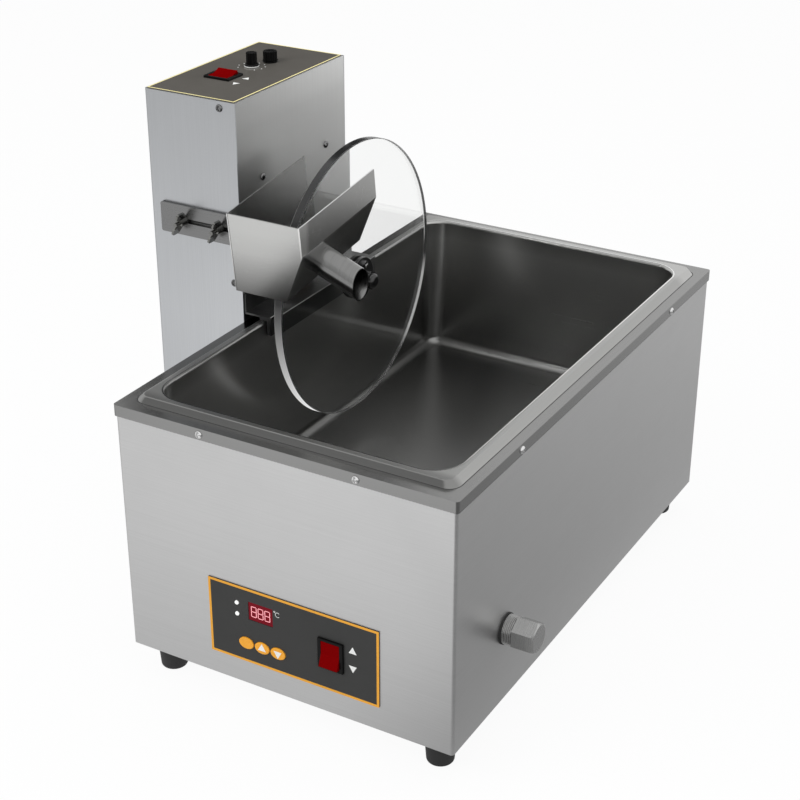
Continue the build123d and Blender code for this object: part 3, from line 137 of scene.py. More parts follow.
class ShaderGraph:
    """Adds and links the nodes of one shader tree."""

    def __init__(self, tree: NodeTree) -> None:
        """Keep the tree."""
        self.tree = tree

    def add(self, kind: str, inputs: dict | None = None, **settings: object) -> Node:
        """Add a node.

        Args:
            kind: Blender's name of the node type.
            inputs: Values or sockets for the node's inputs, by name or number.
            **settings: Attributes of the node.

        Returns:
            The new node.
        """
        node = self.tree.nodes.new(kind)
        for name, value in settings.items():
            setattr(node, name, value)
        self.fill(node, inputs or {})
        return node

    def fill(self, node: Node, inputs: dict) -> None:
        """Link or set several inputs of a node, by name or number."""
        for name, value in inputs.items():
            self.feed(node.inputs[name], value)

    def feed(self, socket: NodeSocket, value: object) -> None:
        """Link a socket to another one, or set its plain value.

        Args:
            socket: Input to fill.
            value: An output socket, or a plain value.
        """
        if isinstance(value, NodeSocket):
            self.tree.links.new(value, socket)
        else:
            socket.default_value = value

    def coords(self) -> NodeSocket:
        """Add the object's own coordinates and return them."""
        return self.add("ShaderNodeTexCoord").outputs["Object"]

    def math(self, operation: str, first: object, second: object) -> NodeSocket:
        """Add a Math node and return its output."""
        return self.add("ShaderNodeMath", {0: first, 1: second}, operation=operation).outputs[0]

    def vector(self, operation: str, first: object, second: object) -> NodeSocket:
        """Add a Vector Math node of two vectors and return its output."""
        return self.add("ShaderNodeVectorMath", {0: first, 1: second}, operation=operation).outputs[0]

    def remap(self, value: object, source: Span, target: Span = (0.0, 1.0)) -> NodeSocket:
        """Map one span of a value onto another and return the output."""
        inputs = {"Value": value, "From Min": source[0], "From Max": source[1], "To Min": target[0],
                  "To Max": target[1]}
        return self.add("ShaderNodeMapRange", inputs).outputs["Result"]

    def around(self, factor: object, middle: float, spread: float) -> NodeSocket:
        """Map 0 to 1 onto a middle value less and plus its spread and return the output."""
        return self.remap(factor, (0.0, 1.0), (middle - spread, middle + spread))

    def mix(self, factor: object, first: object, second: object) -> NodeSocket:
        """Mix two numbers by a factor and return the output."""
        return self.add("ShaderNodeMix", {0: factor, 2: first, 3: second}).outputs[0]

    def blend(self, factor: object, first: Colour, second: Colour) -> NodeSocket:
        """Mix two colours by a factor and return the output."""
        inputs = {"Factor": factor, 6: (*first, 1.0), 7: (*second, 1.0)}
        return self.add("ShaderNodeMix", inputs, data_type="RGBA").outputs[2]

    def streaks(self, coords: object, grain: Grain, broad: float) -> NodeOutputs:
        """Add the brushing group and return its outputs.

        Args:
            coords: Coordinates of the pattern.
            grain: Direction of the lines.
            broad: Handling marks per metre.

        Returns:
            The outputs Streak and Drift.
        """
        inputs = {"Vector": coords, "Stretch": grain.value, "Broad": broad}
        return self.add("ShaderNodeGroup", inputs, node_tree=GROUPS.streaks).outputs

    def relief(self, shader: Node, height: object, strength: float) -> None:
        """Feed a fine relief to a shader's normal."""
        bump = self.add("ShaderNodeBump", {"Height": height, "Strength": strength, "Distance": RELIEF})
        self.feed(shader.inputs["Normal"], bump.outputs[0])


class NodeGroups:
    """Shader node groups that several finishes share, each built once."""

    FINE = {"Scale": 1.0, "Detail": 4.0, "Roughness": 0.62}
    FINE_SPAN = (0.28, 0.72)
    BROAD = {"Detail": 3.0, "Roughness": 0.55}
    BROAD_SPAN = (0.3, 0.7)
    TONE_SHARE = 0.03
    TONE_DETAIL = 4.0

    def __init__(self) -> None:
        """Build the groups."""
        self.streaks = self._streaks()
        self.cast = self._cast()

    @staticmethod
    def _new(name: str, inputs: list[tuple[str, str]],
             outputs: list[str]) -> tuple[ShaderGraph, dict, dict]:
        """Make an empty group.

        Args:
            name: Name of the group.
            inputs: Name and socket type of each input.
            outputs: Names of the float outputs.

        Returns:
            The group's graph, its input sockets and its output sockets.
        """
        tree = bpy.data.node_groups.new(name, "ShaderNodeTree")
        for label, kind in inputs:
            tree.interface.new_socket(label, in_out="INPUT", socket_type=kind)
        for label in outputs:
            tree.interface.new_socket(label, in_out="OUTPUT", socket_type="NodeSocketFloat")
        graph = ShaderGraph(tree)
        entry = graph.add("NodeGroupInput")
        leave = graph.add("NodeGroupOutput")
        return graph, entry.outputs, leave.inputs

    def _streaks(self) -> NodeTree:
        """Fine brushing lines and broad handling marks."""
        inputs = [("Vector", "NodeSocketVector"), ("Stretch", "NodeSocketVector"),
                  ("Broad", "NodeSocketFloat")]
        graph, entry, leave = self._new("Brushed Streaks", inputs, ["Streak", "Drift"])
        along = graph.vector("MULTIPLY", entry["Vector"], entry["Stretch"])
        fine = graph.add("ShaderNodeTexNoise", {"Vector": along, **self.FINE})
        marks = {"Vector": entry["Vector"], "Scale": entry["Broad"], **self.BROAD}
        broad = graph.add("ShaderNodeTexNoise", marks)
        graph.feed(leave["Streak"], graph.remap(fine.outputs[0], self.FINE_SPAN))
        graph.feed(leave["Drift"], graph.remap(broad.outputs[0], self.BROAD_SPAN))
        return graph.tree

    def _cast(self) -> NodeTree:
        """Pebbled skin of moulded plastic, rubber and cast metal."""
        inputs = [("Vector", "NodeSocketVector"), ("Pebbles", "NodeSocketFloat")]
        graph, entry, leave = self._new("Moulded Skin", inputs, ["Pebble", "Tone"])
        cells = graph.add("ShaderNodeTexVoronoi", {"Vector": entry["Vector"], "Scale": entry["Pebbles"]},
                          feature="SMOOTH_F1")
        slow = graph.math("MULTIPLY", entry["Pebbles"], self.TONE_SHARE)
        tone = graph.add("ShaderNodeTexNoise", {"Vector": entry["Vector"], "Scale": slow,
                                                "Detail": self.TONE_DETAIL})
        graph.feed(leave["Pebble"], cells.outputs["Distance"])
        graph.feed(leave["Tone"], tone.outputs[0])
        return graph.tree


GROUPS = NodeGroups()


def new_material(name: str) -> tuple[Material, ShaderGraph, Node]:
    """Make a material with one Principled shader.

    Args:
        name: Name of the material.

    Returns:
        The material, its graph and its shader node.
    """
    material = bpy.data.materials.new(name)
    material.use_nodes = True
    graph = ShaderGraph(material.node_tree)
    shader = material.node_tree.nodes["Principled BSDF"]
    return material, graph, shader


@dataclass(frozen=True)
class BrushedMetal:
    """Sheet or bar metal with brushing lines in one direction.

    Attributes:
        name: Name of the finish.
        colour: Middle colour, linear.
        roughness: Middle roughness.
        grain: Direction of the brushing lines.
        contrast: Share by which the lines lighten and darken the colour.
        depth: Strength of the lines' relief.
        spread: Share by which the lines and handling marks change the roughness.
    """

    name: str
    colour: Colour
    roughness: float
    grain: Grain
    contrast: float = 0.05
    depth: float = 0.05
    spread: float = 0.06

    def build(self) -> Material:
        """Make the material."""
        material, graph, shader = new_material(self.name)
        self.brush(graph, shader)
        return material

    def brush(self, graph: ShaderGraph, shader: Node) -> NodeSocket:
        """Feed colour, roughness and relief to a shader.

        Args:
            graph: The material's graph.
            shader: Its Principled shader.

        Returns:
            The colour that was fed.
        """
        streaks = graph.streaks(graph.coords(), self.grain, HANDLING_MARKS)
        low, high = (tuple(c * (1 + sign * self.contrast) for c in self.colour) for sign in (-1, 1))
        tint = graph.blend(streaks["Streak"], low, high)
        lines = graph.around(streaks["Streak"], self.roughness, self.spread)
        marks = graph.around(streaks["Drift"], 0.0, self.spread / 2)
        rough = graph.math("ADD", lines, marks)
        graph.fill(shader, {"Base Color": tint, "Roughness": rough, "Metallic": 1.0})
        graph.relief(shader, streaks["Streak"], self.depth)
        return tint


@dataclass(frozen=True)
class ShadePaintedMetal:
    """Brushed metal with painted shade and light: its colour grows lighter or darker with height, depth or
    width.

    Attributes:
        metal: The plain finish.
        heights: Height in millimetres of the drawing and factor of the colour that paints shade or light,
            from the lowest up.
        depths: The same for the distance behind the cover's front edge.
        widths: The same for the distance to the right of the cover's left edge.
    """

    metal: BrushedMetal
    heights: Stops = ((0.0, 1.0),)
    depths: Stops = ((0.0, 1.0),)
    widths: Stops = ((0.0, 1.0),)

    def build(self, datum: Datum) -> Material:
        """Make the material.

        Args:
            datum: Zero of the drawing.

        Returns:
            The new material.
        """
        material, graph, shader = new_material(self.metal.name)
        tint = self.metal.brush(graph, shader)
        place = graph.add("ShaderNodeSeparateXYZ", {0: graph.coords()}).outputs
        gain = graph.math("MULTIPLY", self._gain(graph, place["Z"], self.heights, datum.zero.z),
                          self._gain(graph, place["Y"], self.depths, datum.zero.y))
        gain = graph.math("MULTIPLY", gain, self._gain(graph, place["X"], self.widths, datum.zero.x))
        # Painted shade and light: the brushed colour is scaled by the factors of all three directions.
        painted_shade_tint = graph.add("ShaderNodeVectorMath", {0: tint, "Scale": gain}, operation="SCALE")
        graph.feed(shader.inputs["Base Color"], painted_shade_tint.outputs[0])
        return material

    @staticmethod
    def _gain(graph: ShaderGraph, value: NodeSocket, stops: Stops, zero: float) -> object:
        """Factor of the colour along one direction, as painted shade or light.

        Args:
            graph: The material's graph.
            value: Place along the direction, metres.
            stops: Place in millimetres of the drawing and factor of each stop.
            zero: Zero of the drawing along the direction, metres.

        Returns:
            A socket, or a plain number where there is one stop.
        """
        gain = stops[0][1]
        for (low, before), (high, after) in zip(stops, stops[1:]):
            step = graph.remap(value, (zero + low * MM, zero + high * MM), (0.0, after - before))
            gain = graph.math("ADD", gain, step)
        return gain


@dataclass(frozen=True)
class Moulded:
    """Plastic, rubber, paint or cast metal with a pebbled skin.

    Attributes:
        name: Name of the finish.
        colour: Middle colour, linear.
        roughness: Middle roughness.
        pebbles: Cells per metre of the skin.
        depth: Strength of the skin's relief.
        metallic: 1 for bare metal.
        coat: Weight of a clear gloss layer.
        glow: Strength of the light that it gives off.
        spread: Share by which the tone changes the roughness.
        shine: Level of the plain reflection.
    """

    DARKEST = 0.86
    LIGHTEST = 1.12
    LIFT = 0.002

    name: str
    colour: Colour
    roughness: float
    pebbles: float = 1400.0
    depth: float = 0.08
    metallic: float = 0.0
    coat: float = 0.0
    glow: float = 0.0
    spread: float = 0.06
    shine: float = 0.5

    def build(self) -> Material:
        """Make the material."""
        material, graph, shader = new_material(self.name)
        inputs = {"Vector": graph.coords(), "Pebbles": self.pebbles}
        skin = graph.add("ShaderNodeGroup", inputs, node_tree=GROUPS.cast).outputs
        low = tuple(c * self.DARKEST for c in self.colour)
        high = tuple(min(1.0, c * self.LIGHTEST + self.LIFT) for c in self.colour)
        tint = graph.blend(skin["Tone"], low, high)
        rough = graph.around(skin["Tone"], self.roughness, self.spread)
        graph.fill(shader, {"Base Color": tint, "Roughness": rough, "Metallic": self.metallic,
                            "Coat Weight": self.coat, "Specular IOR Level": self.shine})
        graph.relief(shader, skin["Pebble"], self.depth)
        if self.glow:
            graph.fill(shader, {"Emission Color": tint, "Emission Strength": self.glow})
        return material


@dataclass(frozen=True)
class DiscFinish:
    """What the two finishes of the disc share.

    Attributes:
        name: Name of the finish.
        axis_y: Place of the disc's axis in y, metres.
        axis_z: Place of the disc's axis in z, metres.
        radius: Radius where the ground rim starts, metres.
    """

    SMEARS = 20.0

    name: str
    axis_y: float
    axis_z: float
    radius: float

    def beyond(self, graph: ShaderGraph, coords: object, band: float) -> NodeSocket:
        """Mask of what lies further out than the start of the ground rim and a band."""
        offset = graph.vector("SUBTRACT", coords, (0.0, self.axis_y, self.axis_z))
        flat = graph.vector("MULTIPLY", offset, (0.0, 1.0, 1.0))
        reach = graph.add("ShaderNodeVectorMath", {0: flat}, operation="LENGTH").outputs["Value"]
        return graph.math("GREATER_THAN", reach, self.radius + band)


@dataclass(frozen=True)
class ClearSheet(DiscFinish):
    """Clear polished sheet whose turned rim is ground matt.

    Attributes:
        tint: Colour of the clear sheet.
        rim: Colour of the ground rim.
        matt: Roughness of the ground rim, from and to.
        polish: Roughness of the polished sheet, from and to.
        bend: Index of refraction.
    """

    tint: Colour = (0.97, 0.975, 0.97)
    rim: Colour = (0.9, 0.91, 0.9)
    matt: Span = (0.26, 0.42)
    polish: Span = (0.0, 0.03)
    bend: float = 1.49

    def build(self) -> Material:
        """Make the material."""
        material, graph, shader = new_material(self.name)
        coords = graph.coords()
        ground = self.beyond(graph, coords, 0.0)
        streaks = graph.streaks(coords, Grain.SATIN, self.SMEARS)
        matt = graph.remap(streaks["Streak"], (0.0, 1.0), self.matt)
        polish = graph.remap(streaks["Drift"], (0.0, 1.0), self.polish)
        graph.fill(shader, {"Base Color": graph.blend(ground, self.tint, self.rim),
                            "Roughness": graph.mix(ground, polish, matt), "Transmission Weight": 1.0,
                            "IOR": self.bend})
        return material


@dataclass(frozen=True)
class PaintedGlowRim(DiscFinish):
    """Matt ground edge with a painted glow, brightest on the disc's lower side, in place of light carried
    through the disc.

    Attributes:
        band: Depth from the rim's start to its outer face, metres.
        pale: Light that leaves the rim where it is lightest.
        body: Colour of the ground surface.
        shine: Level of its plain reflection.
        matt: Its roughness, from and to.
        outer: Span of the face's upward lean and the light that it gives, on the outer face.
        above: The same on the inner face, where it leans little.
        below: The same on the inner face, where it leans most.
    """

    band: float = 0.00062
    # pale: Colour of the painted glow where the rim is lightest.
    pale: Colour = (0.96, 0.96, 0.95)
    body: Colour = (0.012, 0.012, 0.012)
    shine: float = 0.5
    matt: Span = (0.14, 0.26)
    # outer: Span of the face's upward lean and the share of painted glow, on the outer face.
    outer: tuple[Span, Span] = ((-0.85, 0.15), (0.9, 0.0))
    above: tuple[Span, Span] = ((0.15, 0.3), (0.02, 0.4))
    below: tuple[Span, Span] = ((0.66, 0.8), (1.0, 0.05))

    def build(self) -> Material:
        """Make the material."""
        material, graph, shader = new_material(self.name)
        coords = graph.coords()
        outside = self.beyond(graph, coords, self.band)
        normal = graph.add("ShaderNodeNewGeometry").outputs["Normal"]
        upward = graph.add("ShaderNodeSeparateXYZ", {0: normal}).outputs["Z"]
        # Painted light: the glow follows each face's upward lean, strongest where the outer face leans down.
        outer, above, below = (graph.remap(upward, *ramp) for ramp in (self.outer, self.above, self.below))
        light = graph.mix(outside, graph.math("MULTIPLY", above, below), outer)
        streaks = graph.streaks(coords, Grain.SATIN, self.SMEARS)
        rough = graph.remap(streaks["Streak"], (0.0, 1.0), self.matt)
        glow = graph.blend(light, BLACK, self.pale)
        graph.fill(shader, {"Base Color": (*self.body, 1.0), "Roughness": rough, "Emission Color": glow,
                            "Specular IOR Level": self.shine, "Emission Strength": 1.0})
        return material


def disc_rim() -> tuple[float, float, float]:
    """Place of the disc's axis in y and z, and the radius where its ground rim starts, in metres."""
    low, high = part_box("mixing_disc")
    middle = (low + high) / 2
    return middle.y, middle.z, (high.z - low.z) / 2 - GROUND_DEPTH


def settle(bm: BMesh) -> None:
    """Merge doubles, turn the faces outwards and mark the sharp edges.

    Args:
        bm: Mesh of a closed piece.
    """
    bmesh.ops.remove_doubles(bm, verts=bm.verts, dist=MERGE_M)
    bmesh.ops.recalc_face_normals(bm, faces=bm.faces)
    for face in bm.faces:
        face.smooth = True
    for edge in bm.edges:
        edge.smooth = edge.calc_face_angle(math.pi) < SHARP_ANGLE


def link_mesh(bm: BMesh, name: str) -> Object:
    """Turn a bmesh, which is freed, into an object of the scene."""
    mesh = bpy.data.meshes.new(name)
    bm.to_mesh(mesh)
    bm.free()
    item = bpy.data.objects.new(name, mesh)
    bpy.context.scene.collection.objects.link(item)
    return item


def add_piece(bm: BMesh, name: str, body: str, material: Material) -> Object:
    """Turn a bmesh into a piece that rides on a body.

    Args:
        bm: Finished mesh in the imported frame; it is freed.
        name: Name of the piece.
        body: Body that carries it.
        material: Its finish.

    Returns:
        The new object.
    """
    settle(bm)
    piece = link_mesh(bm, name)
    piece.data.materials.append(material)
    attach(piece, body)
    LOG.info("piece %s on %s: %d faces", name, body, len(piece.data.polygons))
    return piece


def dress(material: Material, *nodes: str) -> None:
    """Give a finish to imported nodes.

    Args:
        material: The finish.
        *nodes: Names of the nodes.
    """
    for node in nodes:
        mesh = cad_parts[node].data
        if mesh.materials:
            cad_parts[node].material_slots[0].material = material
        else:
            mesh.materials.append(material)
        LOG.info("node %s takes %s", node, material.name)


def thicken(bm: BMesh, faces: list[BMFace], height: float) -> None:
    """Raise flat faces of the xy plane into a closed plate.

    Args:
        bm: Mesh that holds them.
        faces: Flat faces at z = 0.
        height: Height of the plate.
    """
    made = bmesh.ops.extrude_face_region(bm, geom=faces)["geom"]
    top = [item for item in made if isinstance(item, BMVert)]
    bmesh.ops.translate(bm, verts=top, vec=(0.0, 0.0, height))


def frame_line(bm: BMesh, width: float, height: float, line: float, radius: float) -> None:
    """Add a printed rectangular line, in millimetres on the xy plane.

    Args:
        bm: Mesh that receives it.
        width: Outer width.
        height: Outer height.
        line: Width of the line.
        radius: Outer corner radius; the corners stay square where the line is as wide.
    """
    verts = bmesh.ops.create_grid(bm, x_segments=1, y_segments=1, size=0.5)["verts"]
    bmesh.ops.scale(bm, vec=(width, height, 1.0), verts=verts)
    if radius > line:
        bmesh.ops.bevel(bm, geom=verts, offset=radius, offset_type="OFFSET", segments=CORNER_STEPS,
                        profile=0.5, affect="VERTICES", material=-1)
    inner = list(bm.faces)
    rim = bmesh.ops.inset_region(bm, faces=inner, thickness=line, use_boundary=True,
                                 use_even_offset=True)["faces"]
    bmesh.ops.delete(bm, geom=inner, context="FACES_ONLY")
    thicken(bm, rim, PRINT_T)


def solid_shape(bm: BMesh, sides: int, radius: float, matrix: Matrix) -> list[BMVert]:
    """Add a raised regular outline, such as a triangle or a dot.

    Args:
        bm: Mesh that receives it.
        sides: Number of corners; the first one points to +y.
        radius: Radius of the corners.
        matrix: Place of the shape on the xy plane, in millimetres.

    Returns:
        The new vertices.
    """
    before = set(bm.verts)
    ring = bmesh.ops.create_circle(bm, cap_ends=True, segments=sides, radius=radius)["verts"]
    thicken(bm, list({face for vert in ring for face in vert.link_faces}), PRINT_T)
    made = [vert for vert in bm.verts if vert not in before]
    bmesh.ops.transform(bm, matrix=matrix, verts=made)
    return made


def put(bm: BMesh, facing: Facing, point: Vector) -> BMesh:
    """Bring a mesh drawn in millimetres on the xy plane to its place.

    Args:
        bm: The mesh.
        facing: Side that its +z looks towards.
        point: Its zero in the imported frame.

    Returns:
        The same mesh.
    """
    matrix = Matrix.Translation(point) @ facing.turn() @ Matrix.Scale(MM, 4)
    bmesh.ops.transform(bm, matrix=matrix, verts=bm.verts)
    return bm


def merge_copy(bm: BMesh, mesh: Mesh, matrix: Matrix) -> None:
    """Add a moved copy of a mesh.

    Args:
        bm: Mesh that receives the copy.
        mesh: Mesh to copy.
        matrix: Place of the copy.
    """
    before = set(bm.verts)
    bm.from_mesh(mesh)
    bmesh.ops.transform(bm, matrix=matrix, verts=[vert for vert in bm.verts if vert not in before])


def lathe(bm: BMesh, profile: list[tuple[float, float]], steps: int) -> None:
    """Spin a profile of radius and height about z.

    Args:
        bm: Mesh that receives the form.
        profile: Radius and height of each point, from the axis or a ring outwards.
        steps: Number of steps round.
    """
    verts = [bm.verts.new((radius, 0.0, height)) for radius, height in profile]
    edges = [bm.edges.new(pair) for pair in zip(verts, verts[1:])]
    bmesh.ops.spin(bm, geom=verts + edges, cent=(0.0, 0.0, 0.0), axis=(0.0, 0.0, 1.0), angle=FULL_TURN,
                   steps=steps, use_merge=True)
    bmesh.ops.remove_doubles(bm, verts=bm.verts, dist=MERGE_MM)


def lathe_band(bm: BMesh, inner: float, outer: float, height: float, steps: int) -> None:
    """Spin a closed band between two radii, from the xy plane up."""
    lathe(bm, [(inner, 0.0), (outer, 0.0), (outer, height), (inner, height), (inner, 0.0)], steps)


class Finishes:
    """All finishes of the machine, built once."""

    def __init__(self, datum: Datum) -> None:
        """Build every finish.

        Args:
            datum: Zero of the drawing.
        """
        grain = Grain
        self.sheet = BrushedMetal("Level brushed sheet", (0.6, 0.6, 0.6), 0.4, grain.LEVEL).build()
        cover = BrushedMetal("Cover sheet", (0.27, 0.27, 0.267), 0.2, grain.LENGTHWISE, spread=0.03)
        self.cover = cover.build()
        # Painted shade and light: the tower's sheet is lighter low and darker towards its top.
        upright = BrushedMetal("Upright brushed sheet", (0.575, 0.588, 0.605), 0.36, grain.UPRIGHT)
        self.tower = ShadePaintedMetal(upright, ((250.0, 1.08), (470.0, 0.86))).build(datum)
        # Painted shade and light: the tower's side is darkest low and at its front, and lighter towards its
        # top and back.
        side = BrushedMetal("Tower side sheet", (0.585, 0.587, 0.58), 0.48, grain.UPRIGHT)
        heights = ((262.0, 0.35), (310.0, 0.42), (390.0, 0.7), (420.0, 0.78), (440.0, 0.88), (452.0, 1.0),
                   (466.0, 1.09))
        depths = ((210.0, 0.8), (285.0, 1.0), (390.0, 1.32))
        self.tower_side = ShadePaintedMetal(side, heights, depths).build(datum)
        # Painted shade and light: the pan's floor stays dark and its walls lighten upwards; its front ring
        # is darkened to dim a reflection, and its back is lightened.
        drawn = BrushedMetal("Drawn pan steel", (0.15, 0.15, 0.147), 0.28, grain.CROSSWISE, 0.012, 0.004,
                             0.005)
        heights = ((111.5, 0.92), (114.0, 1.35), (135.0, 1.4), (185.0, 2.3), (238.0, 3.4), (254.0, 2.5))
        depths = ((22.0, 0.66), (30.0, 1.0), (500.0, 1.0), (515.0, 1.28))
        self.pan = ShadePaintedMetal(drawn, heights, depths).build(datum)
        # Painted highlight: a pale line along the pan's mouth, faded out towards the front.
        edge = BrushedMetal("Painted mouth highlight", (0.85, 0.85, 0.84), 0.2, grain.SATIN, 0.03, 0.01, 0.03)
        self.mouth_highlight = ShadePaintedMetal(edge, depths=((26.0, 0.1), (60.0, 0.5), (480.0, 1.0))).build(datum)
        self.tank = BrushedMetal("Tank sheet", (0.36, 0.36, 0.352), 0.35, grain.CROSSWISE, 0.08).build()
        # Painted shade and light: the hopper darkens towards its bottom and on its inside, and the outer
        # faces of its left and right walls are lightened.
        folded = BrushedMetal("Scraper sheet", (0.56, 0.56, 0.55), 0.27, grain.SATIN, 0.01, 0.001, 0.004)
        heights = ((309.0, 0.32), (330.0, 0.6), (352.0, 0.9), (375.0, 1.0))
        depths = ((156.0, 1.1), (163.0, 0.62))
        widths = ((26.9, 1.7), (27.1, 0.64), (28.1, 0.64), (28.3, 1.0), (103.2, 1.0), (103.4, 1.43))
        self.hopper = ShadePaintedMetal(folded, heights, depths, widths).build(datum)
        self.spout = BrushedMetal("Spout tube", (0.235, 0.235, 0.232), 0.21, grain.TURNED_X, 0.14).build()
        plating = (grain.SATIN, 0.03, 0.02, 0.03)
        self.plated = BrushedMetal("Dull plated steel", (0.2, 0.2, 0.2), 0.16, *plating).build()
        self.bright = BrushedMetal("Bright plated steel", (0.74, 0.74, 0.74), 0.12, *plating).build()
        self.bar = BrushedMetal("Slotted bar steel", (0.25, 0.25, 0.25), 0.3, grain.CROSSWISE, 0.04).build()
        # Painted shade: the rim hanger is dark at its front, under the hopper, and lighter towards its back.
        rail = BrushedMetal("Hanger steel", (0.3, 0.3, 0.3), 0.3, grain.CROSSWISE, 0.06)
        self.hanger = ShadePaintedMetal(rail, depths=((230.0, 0.3), (300.0, 0.36), (345.0, 1.2))).build(datum)
        clamp = BrushedMetal("Dull clamp steel", (0.22, 0.22, 0.21), 0.15, grain.SATIN, 0.04, 0.02, 0.03)
        self.clamp = clamp.build()
        # Painted shade: steel darkened for the shade of the pan that the hub sits in.
        self.dark = BrushedMetal("Dark steel with painted shade", (0.075, 0.075, 0.075), 0.34, grain.LENGTHWISE, 0.1).build()
        self.turned = BrushedMetal("Turned steel", (0.5, 0.5, 0.495), 0.26, grain.TURNED_X, 0.08).build()
        self.bronze = BrushedMetal("Turned bronze", (0.1, 0.085, 0.06), 0.36, grain.TURNED_X, 0.08).build()
        self.rubber = Moulded("Foot rubber", (0.018, 0.018, 0.018), 0.62).build()
        self.label = Moulded("Label plate", (0.036, 0.036, 0.035), 0.5, 900.0, 0.04, shine=0.25).build()
        gloss = Moulded("Gloss label plate", (0.128, 0.119, 0.106), 0.13, 900.0, 0.01, spread=0.03)
        self.top_label = gloss.build()
        self.black = Moulded("Black moulding", (0.0025, 0.0025, 0.0025), 0.36, shine=0.12).build()
        self.red = Moulded("Red rocker", (0.18, 0.0, 0.0005), 0.36, 600.0, 0.02, shine=0.0).build()
        # Painted light: the disc's ground rim glows by the lean of its faces.
        self.ground = PaintedGlowRim("Ground rim with painted glow", *disc_rim()).build()
        self.clear = ClearSheet("Clear disc sheet", *disc_rim()).build()
        window = Moulded("Red window", (0.15, 0.0, 0.006), 0.2, 500.0, 0.01, glow=0.2, shine=0.1)
        self.window = window.build()
        self.digit = Moulded("Lit segments", (0.95, 0.36, 0.4), 0.4, 900.0, 0.01, glow=0.65).build()
        self.lamp = Moulded("Lamp lens", (0.9, 0.9, 0.88), 0.25, 700.0, 0.02, glow=0.35).build()
        self.key = Moulded("Orange key", (0.9, 0.39, 0.03), 0.35, 900.0, 0.03, shine=0.3).build()
        self.orange_ink = Moulded("Orange print", (0.82, 0.38, 0.04), 0.5, 900.0, 0.02, shine=0.2).build()
        self.yellow_ink = Moulded("Yellow print", (0.98, 0.82, 0.4), 0.5, 900.0, 0.02, shine=0.2).build()
        # Painted highlight: pale lines laid on the hopper's and the hanger's edges.
        self.cut = Moulded("Painted edge highlight", (0.55, 0.55, 0.54), 0.4, 900.0, 0.02).build()
        self.white_ink = Moulded("White print", (0.85, 0.85, 0.83), 0.5, 900.0, 0.02).build()
        self.board = Moulded("Circuit board", (0.03, 0.15, 0.06), 0.4, 700.0, 0.1).build()
        self.block = Moulded("Terminal block", (0.75, 0.73, 0.68), 0.5).build()
        self.alloy = Moulded("Cast alloy", (0.5, 0.5, 0.5), 0.45, 900.0, 0.2, metallic=1.0).build()
        self.paint = Moulded("Black paint", (0.04, 0.04, 0.04), 0.4, 1100.0, 0.1).build()


class SheetScrews:
    """Cross-recessed round heads that take the place of the plain ones."""

    PROFILE = ((0.0, 2.2), (1.2, 2.13), (2.2, 1.86), (2.95, 1.42), (3.45, 0.85), (3.7, 0.3), (3.7, 0.0),
               (0.0, 0.0))
    SLOT_L = 4.2
    SLOT_W = 0.95
    SLOT_D = 1.5
    STEPS = 28
    COVER_XS = (92.6, 249.7)
    COVER_YS = (114.4, 449.8)
    COVER_Z = 246.0
    COVER_ENDS = ((0.0, Facing.FRONT), (558.0, Facing.BACK))
    COVER_SIDES = ((0.0, Facing.LEFT), (345.0, Facing.RIGHT))
    TOWER_XZ = ((-18.0, 463.5), (-9.5, 291.0), (-9.5, 30.0))
    TOWER_ENDS = ((204.05, Facing.FRONT), (395.55, Facing.BACK))
    DRIVE_X = -0.5
    DRIVE_YS = (245.5, 358.1)
    DRIVE_ZS = (388.0, 300.0)
    FIRST_TURN = 17.0
    TURN_STEP = 41.0
    ROW_STEP = 13.0

    def __init__(self, datum: Datum, finishes: Finishes) -> None:
        """Keep the datum and finishes and make the head."""
        self.datum = datum
        self.finishes = finishes
        self.head = self._head()

    def _head(self) -> Mesh:
        """Cut the cross recess into a domed head."""
        bm = bmesh.new()
        lathe(bm, list(self.PROFILE), self.STEPS)
        bmesh.ops.recalc_face_normals(bm, faces=bm.faces)
        head = link_mesh(bm, "head_blank")
        cutter_bm = bmesh.new()
        top = Matrix.Translation((0.0, 0.0, self.PROFILE[0][1]))
        for size in ((self.SLOT_L, self.SLOT_W), (self.SLOT_W, self.SLOT_L)):
            matrix = top @ Matrix.Diagonal((*size, 2 * self.SLOT_D, 1.0))
            bmesh.ops.create_cube(cutter_bm, size=1.0, matrix=matrix)
        cutter = link_mesh(cutter_bm, "head_cutter")
        cut = head.modifiers.new("recess", "BOOLEAN")
        cut.operation = "DIFFERENCE"
        cut.solver = "EXACT"
        cut.use_self = True
        cut.object = cutter
        graph = bpy.context.evaluated_depsgraph_get()
        mesh = bpy.data.meshes.new_from_object(head.evaluated_get(graph))
        for item in (head, cutter):
            bpy.data.objects.remove(item)
        return mesh

    def build(self) -> None:
        """Set heads on the cover, the tower and the drive's plate."""
        ends = [(x, y, self.COVER_Z, side) for x in self.COVER_XS for y, side in self.COVER_ENDS]
        sides = [(x, y, self.COVER_Z, side) for y in self.COVER_YS for x, side in self.COVER_SIDES]
        rows = {
            "cover_screws": ends + sides,
            "tower_screws": [(x, y, z, side) for x, z in self.TOWER_XZ for y, side in self.TOWER_ENDS],
            "bracket_screws": [(self.DRIVE_X, y, z, Facing.RIGHT) for y in self.DRIVE_YS
                               for z in self.DRIVE_ZS],
        }
        for row, (node, spots) in enumerate(rows.items()):
            bm = bmesh.new()
            for count, (x, y, z, facing) in enumerate(spots):
                angle = math.radians(self.FIRST_TURN + self.TURN_STEP * count + self.ROW_STEP * row)
                place = Matrix.Translation(self.datum.at(x, y, z)) @ facing.turn() @ Matrix.Scale(MM, 4)
                place = place @ Matrix.Rotation(angle, 4, "Z")
                merge_copy(bm, self.head, place)
            finish = self.finishes.bright if node == "cover_screws" else self.finishes.plated
            piece = add_piece(bm, "crosshead_" + node, "machine", finish)
            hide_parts(node)
        bpy.data.meshes.remove(self.head)


